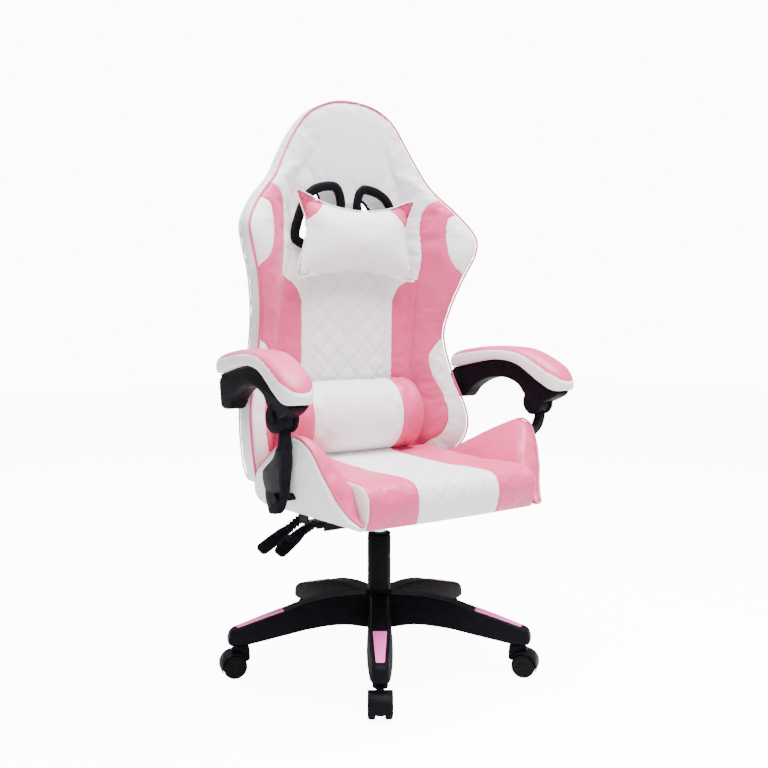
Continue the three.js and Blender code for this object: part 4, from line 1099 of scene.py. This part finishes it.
def make_bolster(name, side):
    rings = []
    for y, top in even(spline(BOLSTER_TOP), 8):
        section = bolster_section(max(top, BOLSTER_FLOOR + 6)) * (side, 1)
        rings.append(stood(section, y))
    rows, count, outer_count = len(rings), len(rings[0]), BOLSTER_POINTS[0]
    points, faces = loft(rings)
    slots = [int(i > outer_count + 1) for _ in range(rows - 1) for i in range(count)] + [0, 1]
    foot = range(outer_count - 1, outer_count + 2)
    pinned = [i == 0 or i in foot or row in (0, rows - 1) for row in range(rows) for i in range(count)]
    crest = np.array([ring[0] for ring in rings])
    cover = Shell()
    cover.add(points, faces, slots, pinned)
    cover.seams = [even(crest, 2)]
    piece = upholstered(f"bolster_cover_{name}", cover, [WHITE, PINK], pressure=4.0, cap=4.0,
                        slack=0.012, groove=1.0)
    keep_above(piece, BOLSTER_FLOOR)
    rides(piece, "seat", [f"bolster_{name}"])
    trim = piping(f"bolster_piping_{name}", crest + (side * 0.5, 0, 1.2), PINK)
    rides(trim, "seat")


# ---- Arm pads -------------------------------------------------------------------------------

def pad_plan():
    """Right-hand half of a pad's outline from above, as distance from its middle plane and y."""
    front, rear = PAD_ROWS[0][0], PAD_ROWS[-1][0]
    nose, tail = 38, 20
    turns = np.linspace(0, math.pi / 2, 12)
    plan = [(PAD_HALF * math.sin(t), front + nose - nose * math.cos(t)) for t in turns]
    plan += [(PAD_HALF, y) for y in (-150, -90, -30, 30)]
    plan += [(6 + (PAD_HALF - 6) * math.cos(t), rear - tail + tail * math.sin(t)) for t in turns]
    return plan + [(0, rear)]


def make_arm_pad(name, side):
    """A boxed pad: white band round the side and a domed pink top, on the arm's curve."""
    rows = spline(PAD_ROWS)
    plan = pad_plan()
    outline = loop_of([plan, mirror(plan[::-1])], step=6)

    def at(points, z):
        return np.column_stack([side * arm_middle(points[:, 1]) + points[:, 0], points[:, 1], z])

    def heights(points):
        return [np.interp(points[:, 1], rows[:, 0], rows[:, column]) for column in (2, 1)]

    def bottom(points):
        return at(points * (0.94, 1), heights(points)[0] + 0.6)

    def top_panel(points):
        low, top = heights(points)
        seam = low + 0.62 * (top - low)
        dome = np.sqrt(1 - (1 - np.clip(edge_distance(points, outline) / 26, 0, 1)) ** 2)
        return at(points, seam + (top - 2.5 - seam) * dome)

    cover = Shell()
    cover.panel(top_panel, outline, lambda centres: np.ones(len(centres), int), step=6)
    cover.panel(bottom, outline, step=8)
    cover.strip(bottom(outline), top_panel(outline), rows=5, bulge=2)
    piece = upholstered(f"arm_pad_cover_{name}", cover, [WHITE, PINK], pressure=3.0, cap=2.5, groove=1.0)
    rides(piece, f"armrest_{name}", [f"arm_pad_{name}"])


# ---- Hard pieces ----------------------------------------------------------------------------

def loft(rings, closed=False):
    """Points and faces of a skin over rings that have the same number of points."""
    rows, size = len(rings), len(rings[0])
    faces = skin(rows, size, closed)
    if not closed:
        faces += [tuple(range(size)), tuple((rows - 1) * size + i for i in range(size))]
    return np.vstack(rings), faces


def merged(parts):
    """Points and faces of several skins as one."""
    points, faces = [], []
    for part_points, part_faces in parts:
        faces += [tuple(len(points) + corner for corner in face) for face in part_faces]
        points += [tuple(point) for point in part_points]
    return points, faces


def softened(piece, width, angle=28):
    """Rounds the sharp edges of a moulded piece; the width is in millimetres."""
    modifier = piece.modifiers.new("edges", "BEVEL")
    modifier.width = width / 1000
    modifier.segments = 2
    modifier.limit_method = "ANGLE"
    modifier.angle_limit = math.radians(angle)
    modifier.harden_normals = True
    return applied(piece)


def moulding(name, parts, material, width=1.2, angle=28):
    return softened(new_piece(name, *merged(parts), [material]), width, angle=angle)


def turned(profile, start, axis, sides=40):
    """A profile of (radius, distance along the axis) turned about the axis."""
    axis = unit(np.asarray(axis, float))
    across = unit(np.cross(axis, (0.3, 0.5, 0.8)))
    upward = np.cross(axis, across)
    turns = np.linspace(0, 2 * np.pi, sides, endpoint=False)[:, None]
    ring = np.cos(turns) * across + np.sin(turns) * upward
    return loft([np.asarray(start, float) + axis * along + ring * radius for radius, along in profile])


def slab(outline, sections, place):
    """A flat piece: its 2D outline at several offsets, each shrunk by an inset."""
    outline = np.asarray(outline, float)
    away = outward(outline)
    return loft([place(outline - away * inset, offset) for offset, inset in sections])


def rounded_sections(half, radius):
    """Offsets and insets of a slab with rounded edges."""
    turns = np.linspace(0, math.pi / 2, 5)
    front = [(-half + radius * (1 - math.sin(t)), radius * (1 - math.cos(t))) for t in turns[::-1]]
    return front + [(-offset, inset) for offset, inset in front[::-1]]


def disc_line(centre, radius):
    return np.array(circle(radius, 36)) + centre


# ---- Armrests -------------------------------------------------------------------------------

def arm_middle(y):
    """Middle plane of an armrest at a depth."""
    return ARM_X - ARM_TOE * (y - ARM_PIVOT[0])


def arm_place(side):
    """Puts an outline in y and z on an armrest, whose plane leans outward to the front."""
    return lambda line, offset: sideways(line, side * (arm_middle(line[:, 0]) + offset))


def upright_at(x):
    """Puts an outline in y and z in an upright plane."""
    return lambda line, offset: sideways(line, x + offset)


def make_upper_arm(name, side):
    place = arm_place(side)
    upper = spline([(y, low) for y, _, low in PAD_ROWS[2:-1]][::-1])
    outline = even(np.vstack([upper, spline(ARM_UNDERSIDE)]), 3, closed=True)
    parts = [slab(outline, rounded_sections(ARM_HALF, 6), place)]
    rim = even(upper - (0, 2.5), 4)
    for reach in (0.6 - ARM_HALF, ARM_HALF - 0.6):
        parts.append(swept(place(rim, reach), circle(2.4)))
    for reach in (-CHEEK_REACH, CHEEK_REACH):
        cheek = slab(disc_line(ARM_PIVOT, CHEEK_RADIUS), rounded_sections(4.6, 2.5),
                     upright_at(side * (ARM_X + reach)))
        parts.append(cheek)
    parts.append(turned(CAP_PROFILE, (side * (ARM_X + CAP_REACH), *ARM_PIVOT), (side, 0, 0)))
    piece = moulding(f"arm_body_{name}", parts, BLACK, 0.8)
    rides(piece, f"armrest_{name}", [f"upper_arm_{name}"])


def link_x(z):
    share = np.clip((z - LINK_LEAN[0]) / (LINK_LEAN[1] - LINK_LEAN[0]), 0, 1)
    return LINK_FOOT_X + share * (ARM_X - LINK_FOOT_X)


def make_link(name, side):
    """The link from the seat's side to the armrest: a bowed blade with a ridge along its face."""
    rows = spline(LINK_ROWS, fine=8)
    rings = []
    for z, front, rear in rows:
        x, ridge, half = link_x(z), front + 0.42 * (rear - front), LINK_HALF
        inner = x - np.interp(z, *LINK_DEPTHS)
        section = [
            (inner, front + 3), (inner, rear - 3), (inner + 3, rear), (x + half - 6, rear),
            (x + half - 1, rear - 0.22 * (rear - front)), (x + half, ridge), (x + half - 2, front + 4),
            (x + half - 5, front), (inner + 3, front),
        ]
        rings.append([(side * a, b, z) for a, b in section])
    eye = slab(disc_line(ARM_PIVOT, LINK_EYE), rounded_sections(LINK_HALF, 2), upright_at(side * ARM_X))
    piece = moulding(f"arm_link_blade_{name}", [loft(rings), eye], BLACK, 1.6)
    rides(piece, f"arm_link_{name}", [f"lower_link_{name}"])


def make_arm_mount(name, side):
    """The steel arm under the seat that carries the link's foot, with a round collar."""
    _, y, z = box_of(f"link_foot_bolt_{name}").mean(axis=0)
    inner, outer = BOLSTER_INNER + 8, LINK_FOOT_X - LINK_DEPTHS[1][0] - 0.5
    collar = turned([(7, inner), (7, outer - 1), (6, outer), (0.5, outer)], (0, y, z), (side, 0, 0))
    front, rear = y - MOUNT_HALF, y + MOUNT_HALF
    upright = slab(rectangle(front, rear, MOUNT_FLOOR + 2, z + 6), [(0, 0), (side * MOUNT_PLATE, 0)],
                   upright_at(side * inner))
    sole = np.array(rectangle(MOUNT_ROOT, inner + MOUNT_PLATE, front, rear)) * (side, 1)
    foot = slab(sole, [(MOUNT_FLOOR, 0), (MOUNT_FLOOR + MOUNT_PLATE, 0)], level)
    piece = moulding(f"arm_mount_{name}", [collar, upright, foot], STEEL, 0.6)
    rides(piece, "seat", [f"seat_arm_bracket_{name}"])


def make_arm_bolt(name, side):
    """Rear pivot of an armrest: the bolt and a washer at the backrest's side."""
    _, y, z = box_of(f"arm_rear_bolt_{name}").mean(axis=0)
    inner = arm_middle(y) - ARM_HALF
    root, washer_root = BOLT_ROOTS
    shank = turned([(5, root), (5, inner + 2 * ARM_HALF - 1)], (0, y, z), (side, 0, 0))
    washer = [(12, washer_root), (13, washer_root + 1), (13, inner), (12, inner + 1)]
    piece = moulding(f"arm_pivot_{name}", [shank, turned(washer, (0, y, z), (side, 0, 0))], STEEL, 0.5)
    rides(piece, "back", [f"arm_rear_bolt_{name}", f"arm_spacer_{name}"])


# ---- Base, casters and column ---------------------------------------------------------------

def leg_turn(index, points):
    """Turns points laid out along +X to a leg of the base; the first leg points to the rear."""
    turn = math.pi / 2 + index * 2 * math.pi / 5
    x, y, z = np.asarray(points, float).T
    across, along = math.cos(turn), math.sin(turn)
    return np.column_stack([x * across - y * along, x * along + y * across, z])


LEG_FINE = spline(LEG_ROWS, fine=6)


def leg_rings():
    """Sections of a leg: a flat top, sides that spread downward and rounded lower edges."""
    rings = []
    for r, top, low, upper, lower in LEG_FINE:
        tall = top - low
        half = [(lower - 4, low), (lower, low + 4), (lower - 0.5, low + 0.42 * tall),
                (upper + 2.5, top - 0.16 * tall), (upper, top - 2), (upper - 3, top)]
        rings.append([(r, y, z) for y, z in half + mirror(half[::-1])])
    return rings


def make_base():
    points, faces = loft(leg_rings())
    legs = [(leg_turn(index, points), faces) for index in range(5)]
    hub = turned([(25.6, 76), (32, 76), (34, 79), (34, 144), (32.5, 149), (29.5, 151), (29.5, 155),
                  (28, 157), (25.6, 157)], (0, 0, 0), (0, 0, 1), 60)
    piece = moulding("base_moulding", [*legs, hub], BLACK, 1.4, angle=20)
    rides(piece, "base", ["base_star"])


def make_trims():
    """Pink plates let into the legs, rounded at their ends."""
    inner, outer = TRIM_ENDS
    rings = []
    for share in np.concatenate([[0, 0.015, 0.04], np.linspace(0.08, 0.92, 12), [0.96, 0.985, 1]]):
        r = inner + share * (outer - inner)
        end = min(share, 1 - share) * (outer - inner)
        half = TRIM_HALVES[0] + share * (TRIM_HALVES[1] - TRIM_HALVES[0]) - max(0, 3 - end) ** 2 / 4
        top = np.interp(r, LEG_FINE[:, 0], LEG_FINE[:, 1]) + (1.2 if 0 < share < 1 else 0.4)
        rings.append([(r, -half, top - 4), (r, -half, top - 0.5), (r, -half + 1, top), (r, half - 1, top),
                      (r, half, top - 0.5), (r, half, top - 4)])
    points, faces = loft(rings)
    piece = new_piece("leg_trims", *merged([(leg_turn(i, points), faces) for i in range(5)]), [TRIM])
    softened(piece, 0.5)
    rides(piece, "base", [f"leg_insert_{i + 1}" for i in range(5)])


def make_wheels(index):
    """Twin wheels with rounded treads and dished sides."""
    joint = JOINTS[f"caster_roll_{index}"]
    centre = np.array(joint["pos_m"]) * 1000 - (0, AXIS_Y, 0)
    side = [(4, 8.6), (20, 8.6), (23.5, 9.4), (24.5, 12), (24.5, 18.5), (23.6, 21.4), (21.5, 23),
            (19, 23.4), (18, 22.4), (9.5, 22), (8.5, 23), (7.5, 23.4), (0.4, 23.4)]
    profile = [(radius, -along) for radius, along in side[::-1]] + side
    wheels = new_piece(f"wheels_{index}", *turned(profile, centre, joint["axis"], 48), [TREAD])
    softened(wheels, 0.5, angle=30)
    rides(wheels, f"caster_wheel_{index}", [f"caster_wheels_{index}"])


def make_hood(index):
    """A caster's hood in the shape of its CAD node, as a moulding with rounded edges."""
    name = f"caster_hood_{index}"
    mesh = frame["nodes"][name].data.copy()
    mesh.transform(frame["nodes"][name].matrix_world)
    mesh.materials.clear()
    mesh.materials.append(BLACK)
    body = bmesh.new()
    body.from_mesh(mesh)
    bmesh.ops.remove_doubles(body, verts=body.verts, dist=1e-5)
    bmesh.ops.dissolve_limit(body, angle_limit=math.radians(2), verts=body.verts, edges=body.edges)
    body.to_mesh(mesh)
    body.free()
    mesh.polygons.foreach_set("use_smooth", [True] * len(mesh.polygons))
    piece = bpy.data.objects.new(f"{name}_moulded", mesh)
    bpy.context.scene.collection.objects.link(piece)
    softened(piece, 1.5)
    rides(piece, f"caster_{index}", [name])


def make_column():
    """Outer tube of the gas lift with a rounded collar at its mouth."""
    low, high = box_of("column_tube")[:, 2]
    radius = box_of("column_tube")[1, 0]
    profile = [(radius - 2, low), (radius - 0.6, low), (radius, low + 1), (radius, high - 4),
               (radius - 1, high - 1.5), (radius - 3, high), (radius - 8, high), (radius - 9, high - 4),
               (radius - 9, high - 30), (radius - 2, high - 34)]
    points, faces = loft([level(circle(r, 72), z) for r, z in profile], closed=True)
    piece = new_piece("column_sleeve", points, faces, [STEEL])
    softened(piece, 0.4)
    rides(piece, "base", ["column_tube"])


def make_boot(name, start, elbow):
    """The lever's rod and the ribbed rubber sleeve over its sloping part."""
    start, elbow = np.array(start, float), np.array(elbow, float)
    root = np.array([box_of(f"{name}_rod")[1, 0], *start[1:]])
    path = even(spline([root, start - (elbow - start) * 0.15, start, elbow, 2 * elbow - start]), 3)
    rod = new_piece(f"{name}_shaft", *swept(path, circle(4, 16)), [STEEL])
    rides(rod, name, [f"{name}_rod"])
    length = np.linalg.norm(elbow - start)
    pitch = length / BOOT_RIBS
    profile = [(4.4, -2)]
    for rib in range(BOOT_RIBS):
        profile += [(radius, (rib + share) * pitch) for radius, share in RIB_PROFILE]
    profile.append((4.4, length + 2))
    sleeve = new_piece(f"{name}_sleeve", *turned(profile, start, elbow - start, 28), [RUBBER])
    rides(sleeve, name, [f"{name}_boot"])


def squarish(value):
    """Bends a sine or a cosine, so that a circle becomes a rounded square."""
    return math.copysign(abs(value) ** 0.55, value)


def make_paddle(name, elbow, end):
    """Finger paddle: a thick blade turned towards the front, dished and rounded all round."""
    elbow, end = np.array(elbow, float), np.array(end, float)
    along = unit(end - elbow)
    sidelong = unit(np.cross((0, 0, 1), along))
    upright = np.cross(along, sidelong)
    roll = math.radians(PADDLE_ROLL)
    flat = sidelong * math.cos(roll) + upright * math.sin(roll)
    normal = upright * math.cos(roll) - sidelong * math.sin(roll)
    tip = np.linalg.norm(end - elbow) + 7
    widths = spline([(-6, 8.5, 7), (4, 9.5, 7.5), (20, 12.5, 7), (tip - 14, 13.5, 6.6),
                     (tip - 5, 12, 5.6), (tip - 1, 9, 4), (tip, 5, 2)], fine=5)
    rings = []
    for run, half, thick in widths:
        dish = 2.2 * math.exp(-((run - tip + 20) / 13) ** 2)
        ring = []
        for turn in np.linspace(0, 2 * math.pi, 24, endpoint=False):
            a = squarish(math.cos(turn)) * half
            b = squarish(math.sin(turn)) * thick
            b -= dish * max(0, math.sin(turn)) * (1 - (a / half) ** 4)
            ring.append(elbow + along * run + flat * a + normal * b)
        rings.append(ring)
    piece = new_piece(f"{name}_grip", *loft(rings), [BLACK])
    rides(piece, name, [f"{name}_paddle"])


# ---- Carried-over CAD nodes -----------------------------------------------------------------

SLOT_MATERIALS = {
    "white_upholstery": WHITE, "white_leather": WHITE, "pink_upholstery": PINK,
    "black_plastic": BLACK, "black_tread": TREAD, "pink_plastic": TRIM, "black_steel": STEEL,
    "zinc_steel": ZINC, "chrome": CHROME, "black_rubber": RUBBER, "black_webbing": WEB,
    "plywood": WOOD,
}


def dress_nodes():
    """Gives every CAD node the material of its slot."""
    for part in frame["record"]["subparts"]:
        node = frame["nodes"][part["node"]]
        blackened = part["node"].startswith("link_foot_bolt")
        node.data.materials.clear()
        node.data.materials.append(STEEL if blackened else SLOT_MATERIALS[part["material_slot"]])


# ---- Studio ---------------------------------------------------------------------------------

CAMERA_PLACE = (-1195.1, -1621.6, 713.3)
CAMERA_TURN = (90 - 3.24, 0, -36.69)
LENS = 44.2
WORLD_LIGHT = 0.45
BACKDROP = 12.0  # the world's strength where the camera sees it
FLOOR_GLOW = 10.5  # the floor's own light where the camera sees it
FLOOR_HALF = 9000
LIGHT_TARGET = (0, 0, 0.5)
LIGHTS = {
    # place and size in metres, power in watts
    "overhead": ((0.1, -0.6, 3.4), 3.0, 520),
    "key": ((-2.2, -3.2, 2.4), 2.4, 30),
    "fill": ((2.8, -1.8, 1.8), 2.4, 20),
    "rear": ((-0.4, 3.0, 2.6), 2.4, 35),
}


def make_camera():
    camera = bpy.data.objects.new("camera", bpy.data.cameras.new("camera"))
    camera.data.lens = LENS
    camera.data.clip_start = 0.05
    camera.location = placed([CAMERA_PLACE])[0]
    camera.rotation_euler = [math.radians(angle) for angle in CAMERA_TURN]
    bpy.context.scene.collection.objects.link(camera)
    bpy.context.scene.camera = camera


def make_floor():
    """A pale floor that melts into the backdrop and takes a soft shadow."""
    n = Nodes("studio_floor")
    tone = n.blend(n.spread(n.noise(2.0), 0.0, 1.0), (0.90, 0.90, 0.90), (0.87, 0.87, 0.87))
    glow = n.math("MULTIPLY", n.node("LightPath").outputs["Is Camera Ray"], FLOOR_GLOW)
    material = n.set(color=tone, roughness=0.6, specular=0.2, emission=(1.0, 1.0, 1.0), glow=glow)
    corners = level(rectangle(-FLOOR_HALF, FLOOR_HALF, -FLOOR_HALF, FLOOR_HALF), 0)
    new_piece("floor", corners, [(0, 1, 2, 3)], [material], smooth=False)


def make_world():
    world = bpy.data.worlds.new("studio")
    world.use_nodes = True
    tree = world.node_tree
    seen = tree.nodes.new("ShaderNodeLightPath").outputs["Is Camera Ray"]
    strength = tree.nodes.new("ShaderNodeMapRange")
    strength.inputs["To Min"].default_value = WORLD_LIGHT
    strength.inputs["To Max"].default_value = BACKDROP
    tree.links.new(seen, strength.inputs["Value"])
    background = tree.nodes["Background"]
    tree.links.new(strength.outputs["Result"], background.inputs["Strength"])
    background.inputs["Color"].default_value = (1, 1, 1, 1)
    bpy.context.scene.world = world


def make_lights():
    for name, (place, size, power) in LIGHTS.items():
        light = bpy.data.lights.new(name, "AREA")
        light.shape = "DISK"
        light.size = size
        light.energy = power
        lamp = bpy.data.objects.new(name, light)
        lamp.location = place
        lamp.rotation_euler = (Vector(LIGHT_TARGET) - Vector(place)).to_track_quat("-Z", "Y").to_euler()
        bpy.context.scene.collection.objects.link(lamp)


make_camera()
make_floor()
make_world()
make_lights()
dress_nodes()
make_backrest()
make_bezels()
make_head_pillow()
make_lumbar_pillow()
make_seat_cushion()
make_board()
for side_name, side_sign in SIDES:
    make_bolster(side_name, side_sign)
    make_upper_arm(side_name, side_sign)
    make_arm_pad(side_name, side_sign)
    make_link(side_name, side_sign)
    make_arm_mount(side_name, side_sign)
    make_arm_bolt(side_name, side_sign)
make_base()
make_trims()
make_column()
for number in range(1, 6):
    make_hood(number)
    make_wheels(number)
for lever_name, (lever_start, lever_elbow, lever_end) in LEVERS.items():
    make_boot(lever_name, lever_start, lever_elbow)
    make_paddle(lever_name, lever_elbow, lever_end)
